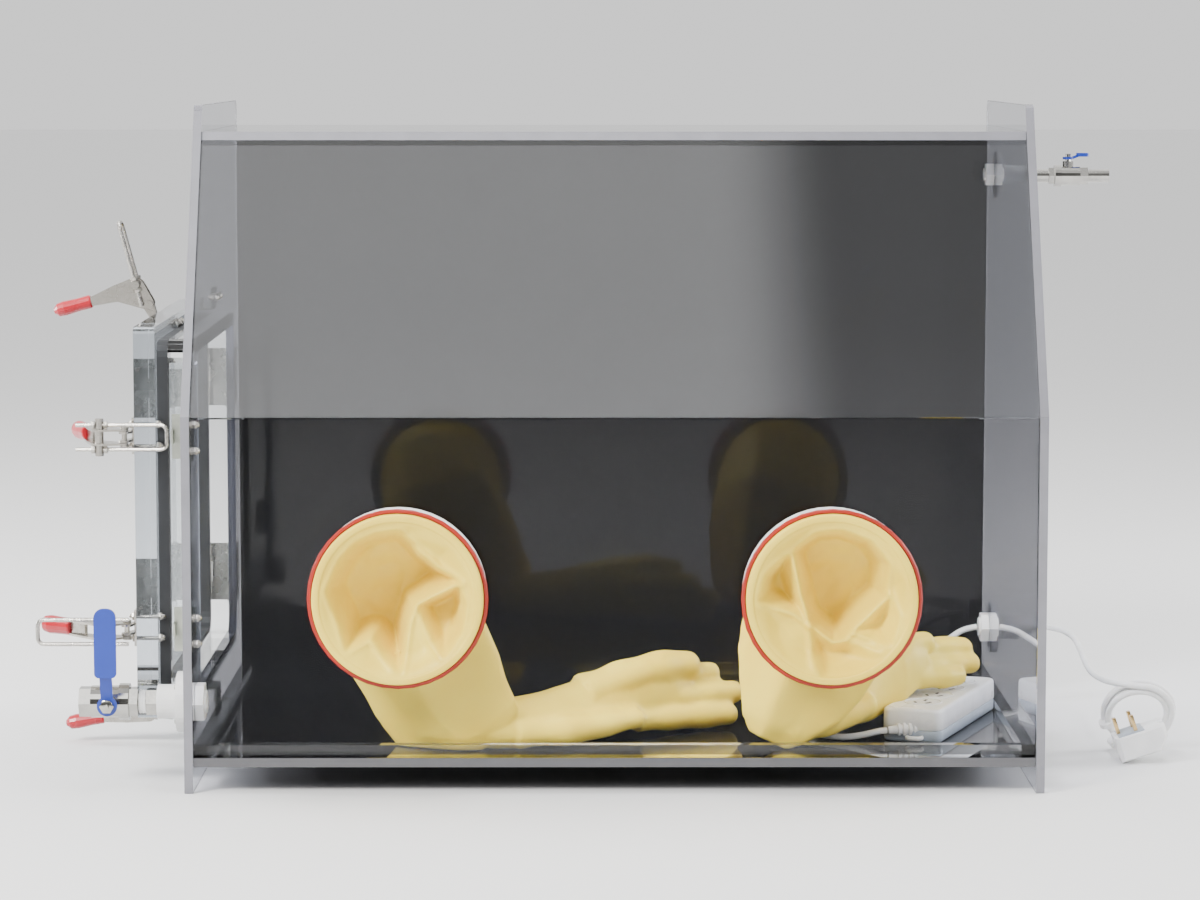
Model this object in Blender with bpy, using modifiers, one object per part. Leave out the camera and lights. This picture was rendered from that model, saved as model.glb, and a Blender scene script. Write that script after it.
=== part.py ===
"""Laboratory glove box: a clear acrylic chamber with a sloped window, two long rubber gloves, a latched side
door, a ball valve at each end and a power strip inside whose lead leaves through a cable gland.

Sizes are in metres. The chamber is drawn with x = 0 at its middle (+x right), y = 0 at the front edge of the side
panels (+y to the back) and z = 0 on the bench; at the end everything is moved so that the origin lies in the
middle of the underside of the whole object, without its lead.
"""

from math import atan2, cos, pi, radians, sin, sqrt, tan

import bmesh
import bpy
from mathutils import Matrix, Vector

# ---------------------------------------------------------------- driving dimensions
NAME = "glove_box"
GAP = 0.0003  # between pieces that touch

WIDTH = 0.800  # over both side panels
DEPTH = 0.500
SIDE_HEIGHT = 0.635
ROOF_TOP = 0.610
BASE_BOTTOM = 0.024  # the side panels stand on the bench and carry the base at this height
BEND_HEIGHT = 0.351  # where the front starts to lean back
LEAN_DEPTH = 0.152  # how far it leans back by the top of the side panels
SIDE_SHEET = 0.008
WALL_SHEET = 0.008
BASE_SHEET = 0.0086
PROUD = 0.003  # side panels stand this far in front of the front and behind the back
TOP_ROUND = 0.009
STRIP_WIDTH, STRIP_HEIGHT = 0.0116, 0.0105  # bars glued along the floor's edges

DOORWAY_FRONT, DOORWAY_BACK = 0.084, 0.445
DOORWAY_LOW, DOORWAY_HIGH = 0.086, 0.404
DOORWAY_ROUND = 0.015
SEAT_WIDTH, SEAT_SHEET = 0.013, 0.0185
GASKET_WIDTH, GASKET_SHEET, GASKET_OVERLAP = 0.016, 0.0102, 0.004
DOOR_OVERHANG = 0.013  # past the seat, on every side
DOOR_SHEET = 0.020
DOOR_ROUND = 0.006

HINGE_HEIGHTS = {"lower": 0.143, "upper": 0.347}
HINGE_LONG, HINGE_SHEET, HINGE_SCREWS = 0.060, 0.0025, 0.039
BARREL_RADIUS, PIN_RADIUS, KNUCKLE_GAP = 0.004, 0.0021, 0.0005

PORT_SPREAD = 0.400  # between the two ports' middles
PORT_HEIGHT = 0.1845
PORT_RADIUS, PORT_WALL = 0.077, 0.004
PORT_REACH, PORT_FLANGE, PORT_FLANGE_SHEET = 0.025, 0.005, 0.004
CUFF_SHEET, CUFF_LONG, SLEEVE_SHEET = 0.0010, 0.016, 0.0020
O_RING_THICK = 0.0042

INLET_Y, INLET_Z = 0.038, 0.080
OUTLET_Y, OUTLET_Z = 0.430, 0.559
GLAND_Y, GLAND_Z = 0.434, 0.0895

CORD_THICK = 0.0062
COIL_RADIUS, COIL_SECTION, COIL_LEAN = 0.0315, 0.0130, radians(25)

# ---------------------------------------------------------------- places that follow from them
INNER_X = WIDTH / 2 - SIDE_SHEET
PANEL_X = INNER_X - GAP
BASE_TOP = BASE_BOTTOM + BASE_SHEET
ROOF_BOTTOM = ROOF_TOP - WALL_SHEET
BACK_OUTER = DEPTH - PROUD
BACK_INNER = BACK_OUTER - WALL_SHEET
FRONT_OUTER = PROUD
FRONT_INNER = PROUD + WALL_SHEET
LEAN = LEAN_DEPTH / (SIDE_HEIGHT - BEND_HEIGHT)
LEAN_LONG = sqrt(1 + LEAN**2)

SEAT_X = -WIDTH / 2 - GAP - SEAT_SHEET
DOOR_IN_X = SEAT_X - 2 * GAP - GASKET_SHEET
DOOR_OUT_X = DOOR_IN_X - DOOR_SHEET
DOOR_FRONT = DOORWAY_FRONT - SEAT_WIDTH - DOOR_OVERHANG
DOOR_BACK = DOORWAY_BACK + SEAT_WIDTH + DOOR_OVERHANG
DOOR_LOW = DOORWAY_LOW - SEAT_WIDTH - DOOR_OVERHANG
DOOR_HIGH = DOORWAY_HIGH + SEAT_WIDTH + DOOR_OVERHANG
DOOR_MID = (DOOR_FRONT + DOOR_BACK) / 2
HINGE_X = (SEAT_X + DOOR_IN_X) / 2
HINGE_Y = DOOR_BACK + GAP + HINGE_SHEET + BARREL_RADIUS - 0.001

# Each latch is drawn in its own frame: x points out past the door's edge, y out of the door's face, z along the
# edge. angle is how far its lever is open; bolt is where its bolt points, from y towards x; reach is from the
# trunnion to the bolt's closed end.
LATCHES = {
    "top": dict(edge=(DOOR_MID, DOOR_HIGH), out=(0, 1), angle=50, bolt=75, reach=0.063),
    "front_upper": dict(edge=(DOOR_FRONT, 0.328), out=(-1, 0), angle=0, bolt=180, reach=0.063),
    "front_lower": dict(edge=(DOOR_FRONT, 0.146), out=(-1, 0), angle=28, bolt=0, reach=0.063),
    "bottom": dict(edge=(DOOR_MID, DOOR_LOW), out=(0, -1), angle=75, bolt=-7, reach=0.063),
}
LEVER_PIVOT = (0.008, 0.008)
TRUNNION_AT = (0.0032, 0.0231)  # from the lever's pivot, lever closed
GRIP_FROM, GRIP_TO = (-0.038, 0.037), (-0.0765, 0.055)
EAR_IN, EAR_SHEET, CHEEK_SHEET = 0.003, 0.002, 0.002
PIN_HEAD = 0.0014
PIN_HALF = EAR_IN + EAR_SHEET + CHEEK_SHEET + 3 * GAP + PIN_HEAD
BOLT_THICK, BOLT_CLEAR, BOLT_TAIL, BOLT_BEND = 0.004, 0.0002, 0.022, 0.006
BOLT_SPREAD = 2 * (PIN_HALF + BOLT_CLEAR) + BOLT_THICK  # its legs pass outside the pivot pin's heads
TRUNNION_THICK, TRUNNION_LONG = 0.008, 0.035
BASE_BOLTS = 0.0205


# ---------------------------------------------------------------- scene and helpers
for old in list(bpy.data.objects):
    bpy.data.objects.remove(old)

parts = bpy.data.collections.new(NAME)
cutters = bpy.data.collections.new("cutters")
cutters.hide_render = True
for group in (parts, cutters):
    bpy.context.scene.collection.children.link(group)


def material(name, colour, roughness, metallic=0.0, alpha=1.0):
    made = bpy.data.materials.new(name)
    made.use_nodes = True
    shader = made.node_tree.nodes["Principled BSDF"]
    shader.inputs["Base Color"].default_value = (*colour, 1)
    shader.inputs["Roughness"].default_value = roughness
    shader.inputs["Metallic"].default_value = metallic
    shader.inputs["Alpha"].default_value = alpha
    return made


ACRYLIC = material("clear_acrylic", (0.80, 0.82, 0.84), 0.05, alpha=0.35)
SMOKED = material("dark_acrylic", (0.05, 0.05, 0.055), 0.06)
RUBBER = material("black_rubber", (0.02, 0.02, 0.02), 0.6)
NICKEL = material("nickel_steel", (0.62, 0.60, 0.56), 0.25, 1.0)
RED_VINYL = material("red_vinyl", (0.60, 0.01, 0.03), 0.35)
BLUE_VINYL = material("blue_vinyl", (0.01, 0.05, 0.45), 0.35)
WHITE_PLASTIC = material("white_plastic", (0.85, 0.85, 0.85), 0.4)
LATEX = material("cream_latex", (0.88, 0.76, 0.42), 0.45)
RED_RUBBER = material("red_rubber", (0.45, 0.06, 0.03), 0.5)


def empty(name, matrix, parent=None):
    made = bpy.data.objects.new(name, None)
    parts.objects.link(made)
    made.parent = parent
    made.matrix_local = matrix
    return made


def place(obj, name, finish, parent, group=None):
    """Names an object, gives it its material and parent, and puts it in a collection."""
    obj.name = name
    obj.data.name = name
    if finish:
        obj.data.materials.append(finish)
    (group or parts).objects.link(obj)
    obj.parent = parent
    return obj


def mesh_object(build):
    """An object of the mesh that build makes in a bmesh."""
    shape = bmesh.new()
    build(shape)
    bmesh.ops.recalc_face_normals(shape, faces=shape.faces)
    mesh = bpy.data.meshes.new("shape")
    shape.to_mesh(mesh)
    shape.free()
    return bpy.data.objects.new("shape", mesh)


def box_object(low, high):
    middle = [(a + b) / 2 for a, b in zip(low, high)]
    size = [b - a for a, b in zip(low, high)]
    where = Matrix.Translation(middle) @ Matrix.Diagonal((*size, 1))
    return mesh_object(lambda shape: bmesh.ops.create_cube(shape, size=1, matrix=where))


def along(axis):
    """The turn that takes z to an axis given as 'x', 'y', 'z' or a vector."""
    ways = {"x": (1, 0, 0), "y": (0, 1, 0), "z": (0, 0, 1)}
    way = Vector(ways.get(axis, axis)) if isinstance(axis, str) else Vector(axis)
    return Vector((0, 0, 1)).rotation_difference(way.normalized()).to_matrix().to_4x4()


def rod_object(start, long, radius, axis="z", sides=20, end_radius=None):
    """A cylinder, cone or, with few sides, a hexagon that starts at a point and runs along an axis."""
    turn = along(axis)
    where = Matrix.Translation(start) @ turn @ Matrix.Translation((0, 0, long / 2))

    def build(shape):
        bmesh.ops.create_cone(
            shape, cap_ends=True, segments=sides, radius1=radius,
            radius2=radius if end_radius is None else end_radius, depth=long, matrix=where,
        )

    made = mesh_object(build)
    if sides > 8:
        made.data.shade_smooth()
        made.data.set_sharp_from_angle(angle=radians(35))
    return made


def rounded(points, radii, steps=4):
    """A closed outline whose corners are arcs of the given radii."""
    made = []
    for i, corner in enumerate(points):
        corner, radius = Vector(corner), radii[i]
        if not radius:
            made.append(tuple(corner))
            continue
        back = (Vector(points[i - 1]) - corner).normalized()
        ahead = (Vector(points[(i + 1) % len(points)]) - corner).normalized()
        half = back.angle(ahead) / 2
        reach, middle = radius / tan(half), corner + (back + ahead).normalized() * radius / sin(half)
        first, last = corner + back * reach - middle, corner + ahead * reach - middle
        sweep = first.angle_signed(last)
        for step in range(steps + 1):
            turned = Matrix.Rotation(-sweep * step / steps, 2) @ first
            made.append(tuple(middle + turned))
    return made


def rectangle(low, high, radius=0.0):
    (x0, y0), (x1, y1) = low, high
    return rounded([(x0, y0), (x1, y0), (x1, y1), (x0, y1)], [radius] * 4)


def circle(middle, radius, sides=32):
    turns = [2 * pi * i / sides for i in range(sides)]
    return [(middle[0] + radius * cos(t), middle[1] + radius * sin(t)) for t in turns]


def plate_object(outlines, sheet, matrix=None):
    """A flat sheet: the first outline is its edge and the others are holes. It is centred on its own x-y plane."""
    curve = bpy.data.curves.new("plate", "CURVE")
    curve.dimensions, curve.fill_mode, curve.extrude = "2D", "BOTH", sheet / 2
    for outline in outlines:
        spline = curve.splines.new("POLY")
        spline.points.add(len(outline) - 1)
        spline.use_cyclic_u = True
        for point, (x, y) in zip(spline.points, outline):
            point.co = (x, y, 0, 1)
    made = bpy.data.objects.new("plate", curve)
    made.matrix_local = matrix or Matrix()
    return made


def to_mesh(obj):
    """A mesh object in place of a curve, its caps welded, so that it can be cut or joined."""
    helper = obj.name
    bpy.context.scene.collection.objects.link(obj)
    bpy.context.view_layer.update()
    mesh = bpy.data.meshes.new_from_object(obj.evaluated_get(bpy.context.evaluated_depsgraph_get()))
    shape = bmesh.new()
    shape.from_mesh(mesh)
    bmesh.ops.remove_doubles(shape, verts=shape.verts, dist=1e-6)
    bmesh.ops.recalc_face_normals(shape, faces=shape.faces)
    shape.to_mesh(mesh)
    shape.free()
    made = bpy.data.objects.new(helper + "_mesh", mesh)
    made.matrix_local = obj.matrix_local
    bpy.data.objects.remove(obj)
    return made


def wire_object(points, thick, resolution=2, cyclic=False):
    curve = bpy.data.curves.new("wire", "CURVE")
    curve.dimensions, curve.bevel_depth = "3D", thick / 2
    curve.bevel_resolution, curve.use_fill_caps = resolution, True
    spline = curve.splines.new("POLY")
    spline.points.add(len(points) - 1)
    spline.use_cyclic_u = cyclic
    for point, co in zip(spline.points, points):
        point.co = (*co, 1)
    return bpy.data.objects.new("wire", curve)


def turned_object(profile, steps=32):
    """A ring turned about z from a closed profile of (radius, height) points, which runs anticlockwise."""
    mesh = bpy.data.meshes.new("turned")
    count = len(profile)
    mesh.from_pydata([(r, 0, z) for r, z in profile], [(i, (i + 1) % count) for i in range(count)], [])
    made = bpy.data.objects.new("turned", mesh)
    screw = made.modifiers.new("turn", "SCREW")
    screw.steps = screw.render_steps = steps
    screw.use_merge_vertices, screw.merge_threshold = True, 1e-5
    screw.use_normal_flip = True
    return made


def loft_object(rings):
    """A closed skin over rings of equally many points, capped at its first and last ring."""
    def build(shape):
        rows = [[shape.verts.new(point) for point in ring] for ring in rings]
        for first, second in zip(rows, rows[1:]):
            for i in range(len(first)):
                j = (i + 1) % len(first)
                shape.faces.new((first[i], first[j], second[j], second[i]))
        shape.faces.new(rows[0])
        shape.faces.new(rows[-1])

    made = mesh_object(build)
    made.data.shade_smooth()
    made.data.set_sharp_from_angle(angle=radians(50))
    return made


def combine(obj, others, operation, parent=None):
    """Joins or cuts an object with helpers, which move with it and are never part of the model."""
    for i, other in enumerate(others):
        place(other, f"{obj.name}_{operation.lower()}_{i}", None, parent or obj.parent, cutters)
        other.hide_render = True
        other.display_type = "WIRE"
        change = obj.modifiers.new(f"{operation.lower()}_{i}", "BOOLEAN")
        change.operation, change.object = operation, other
        change.solver = "EXACT"
    return obj


def join(obj, *others):
    return combine(obj, others, "UNION")


def cut(obj, *others):
    return combine(obj, others, "DIFFERENCE")


def smooth_route(route, step):
    """Evenly spaced points on a smooth curve through the points of a route."""
    ends = [2 * Vector(route[0]) - Vector(route[1])], [2 * Vector(route[-1]) - Vector(route[-2])]
    line = ends[0] + [Vector(p) for p in route] + ends[1]
    fine = []
    for a, b, c, d in zip(line, line[1:], line[2:], line[3:]):
        for i in range(24):
            t = i / 24
            fine.append(0.5 * (2 * b + (c - a) * t + (2 * a - 5 * b + 4 * c - d) * t**2
                               + (3 * b - a - 3 * c + d) * t**3))
    fine.append(Vector(route[-1]))
    total = sum((b - a).length for a, b in zip(fine, fine[1:]))
    count = max(2, round(total / step))
    made, walked, target = [fine[0]], 0.0, total / count
    for a, b in zip(fine, fine[1:]):
        length = (b - a).length
        while length and walked + length >= target * len(made) - 1e-9 and len(made) < count:
            made.append(a.lerp(b, (target * len(made) - walked) / length))
        walked += length
    return made + [fine[-1]]


def side_plane(x):
    """Takes a sheet's x and y to the chamber's y and z, with the middle of its thickness at x."""
    return Matrix(((0, 0, 1, x), (1, 0, 0, 0), (0, 1, 0, 0), (0, 0, 0, 1)))


# ---------------------------------------------------------------- chamber
def leaning_y(depth, z):
    """How far back the sloped front is at a height, measured to a face that lies depth behind the panels' edge."""
    return (z - BEND_HEIGHT) * LEAN + depth * LEAN_LONG


def bend_at(depth):
    """Where the upright and the sloped faces at that depth meet."""
    return depth, BEND_HEIGHT + (depth - depth * LEAN_LONG) / LEAN


def side_panel(name, x, holes):
    edge = rounded(
        [(0, 0), (DEPTH, 0), (DEPTH, SIDE_HEIGHT), (LEAN_DEPTH, SIDE_HEIGHT), (0, BEND_HEIGHT)],
        [0, 0, TOP_ROUND, TOP_ROUND, 0],
    )
    panel = plate_object([edge, *holes], SIDE_SHEET, side_plane(x))
    return place(panel, name, ACRYLIC, chamber)


def chamber_walls():
    doorway = rectangle((DOORWAY_FRONT, DOORWAY_LOW), (DOORWAY_BACK, DOORWAY_HIGH), DOORWAY_ROUND)
    middle = WIDTH / 2 - SIDE_SHEET / 2
    side_panel("side_panel_left", -middle, [doorway, circle((INLET_Y, INLET_Z), SHANK_RADIUS + GAP, 24)])
    side_panel("side_panel_right", middle, [
        circle((OUTLET_Y, OUTLET_Z), OUTLET_SHANK + GAP, 20),
        circle((GLAND_Y, GLAND_Z), GLAND_SHANK + GAP, 20),
    ])

    base = box_object((-PANEL_X, FRONT_OUTER, BASE_BOTTOM), (PANEL_X, BACK_OUTER, BASE_TOP))
    place(base, "base_plate", SMOKED, chamber)
    back = box_object((-PANEL_X, BACK_INNER, BASE_TOP + GAP), (PANEL_X, BACK_OUTER, ROOF_BOTTOM - GAP))
    place(back, "back_panel", SMOKED, chamber)

    roof = [
        (leaning_y(FRONT_OUTER, ROOF_BOTTOM), ROOF_BOTTOM), (BACK_OUTER, ROOF_BOTTOM),
        (BACK_OUTER, ROOF_TOP), (leaning_y(FRONT_OUTER, ROOF_TOP), ROOF_TOP),
    ]
    place(plate_object([roof], 2 * PANEL_X, side_plane(0)), "roof_plate", SMOKED, chamber)

    outer, inner = bend_at(FRONT_OUTER), bend_at(FRONT_INNER)
    top = ROOF_BOTTOM - GAP
    upper = [
        (outer[0] + GAP * LEAN, outer[1] + GAP), (leaning_y(FRONT_OUTER, top), top),
        (leaning_y(FRONT_INNER, top), top), (inner[0] + GAP * LEAN, inner[1] + GAP),
    ]
    place(plate_object([upper], 2 * PANEL_X, side_plane(0)), "front_upper_panel", ACRYLIC, chamber)

    low = BASE_TOP + GAP
    lower = [(FRONT_OUTER, low), (FRONT_INNER, low), inner, outer]
    panel = to_mesh(plate_object([lower], 2 * PANEL_X, side_plane(0)))
    place(panel, "front_lower_panel", ACRYLIC, chamber)
    cut(panel, *[
        rod_object((side * PORT_SPREAD / 2, -0.05, PORT_HEIGHT), 0.1, PORT_RADIUS + GAP, "y", 48)
        for side in (-1, 1)
    ])

    x, y0, y1 = PANEL_X, FRONT_INNER + GAP, BACK_INNER - GAP
    frame = plate_object(
        [rectangle((-x, y0), (x, y1)), rectangle((STRIP_WIDTH - x, y0 + STRIP_WIDTH), (x - STRIP_WIDTH, y1 - STRIP_WIDTH))],
        STRIP_HEIGHT, Matrix.Translation((0, 0, BASE_TOP + GAP + STRIP_HEIGHT / 2)),
    )
    place(frame, "floor_frame", ACRYLIC, chamber)


# ---------------------------------------------------------------- glove ports and gloves
def glove_port(side, x):
    """A ring through the front panel with a flange behind it, and the O-ring that holds the glove's cuff on it."""
    inner, front, back = PORT_RADIUS - PORT_WALL, FRONT_OUTER - PORT_REACH, FRONT_INNER + GAP
    flange = PORT_RADIUS + PORT_FLANGE
    profile = [
        (inner, -(back + PORT_FLANGE_SHEET)), (flange, -(back + PORT_FLANGE_SHEET)), (flange, -back),
        (PORT_RADIUS, -back), (PORT_RADIUS, -front), (inner, -front),
    ]
    faces_front = Matrix.Translation((x, 0, PORT_HEIGHT)) @ along((0, -1, 0))
    ring = turned_object(profile, 48)
    ring.matrix_local = faces_front
    place(ring, f"glove_port_ring_{side}", WHITE_PLASTIC, chamber)

    major = CUFF_RADIUS + CUFF_SHEET + 2 * GAP + O_RING_THICK / 2
    section = [
        (major + O_RING_THICK / 2 * cos(t), -front - 0.006 + O_RING_THICK / 2 * sin(t))
        for t in [2 * pi * i / 6 for i in range(6)]
    ]
    o_ring = turned_object(section, 36)
    o_ring.matrix_local = faces_front
    place(o_ring, f"cuff_o_ring_{side}", RED_RUBBER, chamber)


GLOVE_SIDES = 24
CUFF_RADIUS = (PORT_RADIUS + GAP) / cos(pi / GLOVE_SIDES)  # so that its flats clear the port's rim


def oval(middle, heading, half_width, half_height, sides=GLOVE_SIDES):
    """An upright oval across a heading, which is an angle from +x."""
    across = Vector((sin(heading), -cos(heading), 0))
    return [
        tuple(Vector(middle) + across * half_width * cos(t) + Vector((0, 0, half_height * sin(t))))
        for t in [2 * pi * i / sides for i in range(sides)]
    ]


# The sleeve and the hand as upright ovals: middle, heading in degrees, half width and half height. The middle is
# measured sideways from the port's middle, back from the front edge and up from the base. They are drawn for a port
# of this radius at this height over the base, and follow it.
DRAWN_RADIUS, DRAWN_HEIGHT, DRAWN_FRONT = 0.077, 0.1519, 0.003
GLOVE_LEFT = [
    ((0.000, 0.018, 0.1519), 90, 0.0720, 0.0720), ((0.003, 0.033, 0.1354), 85, 0.0720, 0.0760),
    ((0.016, 0.047, 0.1014), 68, 0.0720, 0.0820), ((0.042, 0.061, 0.0680), 48, 0.0660, 0.0630),
    ((0.078, 0.066, 0.0420), 32, 0.0520, 0.0400), ((0.115, 0.076, 0.0330), 28, 0.0360, 0.0315),
    ((0.155, 0.096, 0.0340), 30, 0.0300, 0.0320), ((0.200, 0.119, 0.0365), 30, 0.0260, 0.0340),
    ((0.235, 0.141, 0.0378), 31, 0.0240, 0.0355), ((0.275, 0.164, 0.0365), 32, 0.0210, 0.0340),
    ((0.322, 0.191, 0.0325), 32, 0.0140, 0.0240),
]
GLOVE_RIGHT = [
    ((0.000, 0.018, 0.1519), 90, 0.0720, 0.0720), ((-0.001, 0.033, 0.1354), 90, 0.0720, 0.0760),
    ((-0.007, 0.047, 0.1014), 85, 0.0710, 0.0820), ((-0.016, 0.058, 0.0700), 72, 0.0620, 0.0660),
    ((-0.019, 0.070, 0.0470), 55, 0.0460, 0.0440), ((-0.004, 0.088, 0.0405), 46, 0.0340, 0.0325),
    ((0.025, 0.108, 0.0425), 40, 0.0300, 0.0340), ((0.052, 0.130, 0.0585), 40, 0.0270, 0.0290),
    ((0.080, 0.153, 0.0655), 39, 0.0240, 0.0270), ((0.110, 0.178, 0.0700), 39, 0.0220, 0.0260),
    ((0.150, 0.211, 0.0640), 39, 0.0140, 0.0180),
]
SLEEVE_STATIONS = 6  # how many of them are hollow


def glove(side, x, stations):
    """One closed skin: out of the hollow sleeve, over the port's rim and round the cuff, back in through the port
    and along the outside of the sleeve to the fingertips."""
    front = FRONT_OUTER - PORT_REACH - GAP
    bore, over = PORT_RADIUS - PORT_WALL - GAP, CUFF_RADIUS
    middle = (x, 0, PORT_HEIGHT)

    def hoop(radius, y):
        return oval((middle[0], y, middle[2]), pi / 2, radius, radius)

    def hull(inset=0.0):
        size, rise = PORT_RADIUS / DRAWN_RADIUS, (PORT_HEIGHT - BASE_TOP) / DRAWN_HEIGHT
        return [
            oval((x + dx, FRONT_OUTER - DRAWN_FRONT + y, BASE_TOP + z * rise), radians(turn),
                 wide * size - inset, tall * (size if i == 0 else rise) - inset)
            for i, ((dx, y, z), turn, wide, tall) in enumerate(stations)
        ]

    inside = hull(SLEEVE_SHEET)[:SLEEVE_STATIONS]
    cuff = [
        hoop(bore - SLEEVE_SHEET, front + 0.004), hoop(bore - CUFF_SHEET, front - CUFF_SHEET),
        hoop(over + CUFF_SHEET, front - CUFF_SHEET), hoop(over + CUFF_SHEET, front + CUFF_LONG),
        hoop(over, front + CUFF_LONG), hoop(over, front), hoop(bore, front),
    ]
    place(loft_object(inside[::-1] + cuff + hull()), f"glove_{side}", LATEX, chamber)


# ---------------------------------------------------------------- valves and cable gland
SHANK_RADIUS, OUTLET_SHANK, GLAND_SHANK = 0.0105, 0.0065, 0.0100


def through_fitting(name, side, y, z, flange, flange_sheet, body, body_long, shank, nut, bore):
    """A bulkhead fitting: flange and body outside a side panel, a shank through it and a nut inside, bored through."""
    start, way = side * (WIDTH / 2 + GAP), (side, 0, 0)
    fitting = rod_object((start, y, z), flange_sheet, flange, way, 32)
    place(fitting, name, WHITE_PLASTIC, chamber)
    inside = SIDE_SHEET + 2 * GAP
    join(
        fitting,
        rod_object((start + side * 0.001, y, z), flange_sheet + body_long - 0.001, body, way, 24),
        rod_object((start + side * 0.001, y, z), inside + 0.011, shank, (-side, 0, 0), 24),
        rod_object((start - side * inside, y, z), 0.008, nut, (-side, 0, 0), 6),
    )
    cut(fitting, rod_object((start - side * 0.05, y, z), 0.15, bore, way, 16))
    return start + side * (flange_sheet + body_long)


def ball_valve(name, side, y, z, start, long, radius, bore):
    """A valve body along x: a ball chamber between two hexagon ends, bored through, from start outwards."""
    way = (side, 0, 0)
    body = rod_object((start, y, z), long * 0.24, radius * 0.95, way, 6)
    place(body, name, NICKEL, chamber)
    join(
        body,
        rod_object((start + side * long * 0.15, y, z), long * 0.17, radius * 1.12, way, 20),
        rod_object((start + side * long * 0.30, y, z), long * 0.50, radius * 0.98, way, 20),
        rod_object((start + side * long * 0.72, y, z), long * 0.28, radius * 0.98, way, 6),
    )
    return body, rod_object((start - side * 0.01, y, z), long + 0.02, bore, way, 16)


def inlet():
    """The half-inch ball valve low on the left, closed, its stem towards the front."""
    side, y, z = -1, INLET_Y, INLET_Z
    end = through_fitting("inlet_bulkhead", side, y, z, 0.0285, 0.009, 0.0162, 0.0185, SHANK_RADIUS, 0.019, 0.006)
    nipple = rod_object((end - GAP, y, z), 0.010, 0.0135, (-1, 0, 0), 6)
    place(nipple, "inlet_nipple", NICKEL, chamber)
    join(nipple, rod_object((end - GAP - 0.009, y, z), 0.0085, 0.0105, (-1, 0, 0), 20))
    cut(nipple, rod_object((end + 0.01, y, z), 0.05, 0.006, (-1, 0, 0), 16))
    start = end - 2 * GAP - 0.0175
    body, bore = ball_valve("inlet_valve_body", side, y, z, start, 0.055, 0.0155, 0.0065)
    stem_x = start - 0.0265
    join(
        body,
        rod_object((stem_x, y - 0.010, z), 0.013, 0.0085, (0, -1, 0), 16),
        rod_object((stem_x, y - 0.020, z), LEVER_STEM, 0.0042, (0, -1, 0), 12),
    )
    cut(body, bore)
    pivot = empty("inlet_lever_axis", Matrix.Translation((stem_x, y - 0.0245, z)), chamber)
    handle(pivot, "inlet_valve_lever", (0, -1, 0), (0, 0, 1), 0.0042, 0.0095, 0.028, 0.093, 0.0205, 0.009)


LEVER_STEM = 0.0100
LEVER_SHEET = 0.0025


def handle(pivot, name, axis, way, stem, eye, neck, long, wide, lift):
    """A flat valve lever: an eye round its stem, a neck that steps up by lift, and a grip with a rounded end.

    It is drawn with the stem along z and the lever along y, then turned so that z meets axis and y meets way."""
    axis, way = Vector(axis), Vector(way)
    turn = Matrix((way.cross(axis), way, axis)).transposed().to_4x4()
    low = LEVER_SHEET / 2 + GAP
    lever = to_mesh(plate_object([circle((0, 0), eye, 20), circle((0, 0), stem + GAP, 16)], LEVER_SHEET))
    lever.matrix_local = turn @ Matrix.Translation((0, 0, low))
    place(lever, name, BLUE_VINYL, pivot)
    half, end = wide / 2, wide * 0.42
    grip = to_mesh(plate_object(
        [rounded([(-half, neck), (half, neck), (half, long), (-half, long)], [end / 2, end / 2, end, end], 5)],
        LEVER_SHEET * 1.5,
    ))
    grip.matrix_local = turn @ Matrix.Translation((0, 0, low + lift))
    start, run = eye - 0.002, neck + 0.004 - (eye - 0.002)
    neck_half = min(half, eye) * 0.6
    slope = box_object((-neck_half, 0, -LEVER_SHEET / 2), (neck_half, sqrt(run**2 + lift**2), LEVER_SHEET / 2))
    tilt = Matrix.Rotation(atan2(lift, run), 4, "X")
    slope.matrix_local = turn @ Matrix.Translation((0, start, low)) @ tilt
    join(lever, grip, slope)


def outlet():
    """The small ball valve high on the right, open, its stem upwards."""
    side, y, z = 1, OUTLET_Y, OUTLET_Z
    end = through_fitting("outlet_bulkhead", side, y, z, 0.0245, 0.006, 0.0095, 0.024, OUTLET_SHANK, 0.0125, 0.0035)
    start = end + GAP + 0.018
    body, bore = ball_valve("outlet_valve_body", side, y, z, start, 0.040, 0.0100, 0.0035)
    stem_x = start + 0.020
    join(
        body,
        rod_object((start + 0.002, y, z), 0.020, 0.0070, (-1, 0, 0), 16),
        rod_object((start + 0.036, y, z), 0.026, 0.0068, (1, 0, 0), 16),
        rod_object((stem_x, y, z + 0.006), 0.009, 0.0055, (0, 0, 1), 14),
        rod_object((stem_x, y, z + 0.013), 0.0095, 0.0028, (0, 0, 1), 12),
    )
    bore_long = rod_object((start - 0.03, y, z), 0.11, 0.0035, (1, 0, 0), 16)
    bpy.data.objects.remove(bore)
    cut(body, bore_long)
    pivot = empty("outlet_lever_axis", Matrix.Translation((stem_x, y, z + 0.0165)), chamber)
    handle(pivot, "outlet_valve_lever", (0, 0, 1), (1, 0, 0), 0.0028, 0.0055, 0.0085, 0.0215, 0.0090, 0.0035)


def cable_gland():
    """Outside the right panel: a flanged body and a domed metal nut, bored for the lead."""
    through_fitting("cable_gland", 1, GLAND_Y, GLAND_Z, 0.0265, 0.0075, 0.0130, 0.022, GLAND_SHANK, 0.016, CORD_THICK / 2 + GAP)
    gland = bpy.data.objects["cable_gland"]
    start = WIDTH / 2 + GAP + 0.0075 + 0.0215
    cap = rod_object((start, GLAND_Y, GLAND_Z), 0.0145, 0.0100, (1, 0, 0), 20, 0.0075)
    place(cap, "cable_gland_cap", None, chamber, cutters)
    cap.hide_render, cap.display_type = True, "WIRE"
    change = gland.modifiers.new("cap", "BOOLEAN")
    change.operation, change.object = "UNION", cap
    gland.modifiers.move(len(gland.modifiers) - 1, len(gland.modifiers) - 2)


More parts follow.
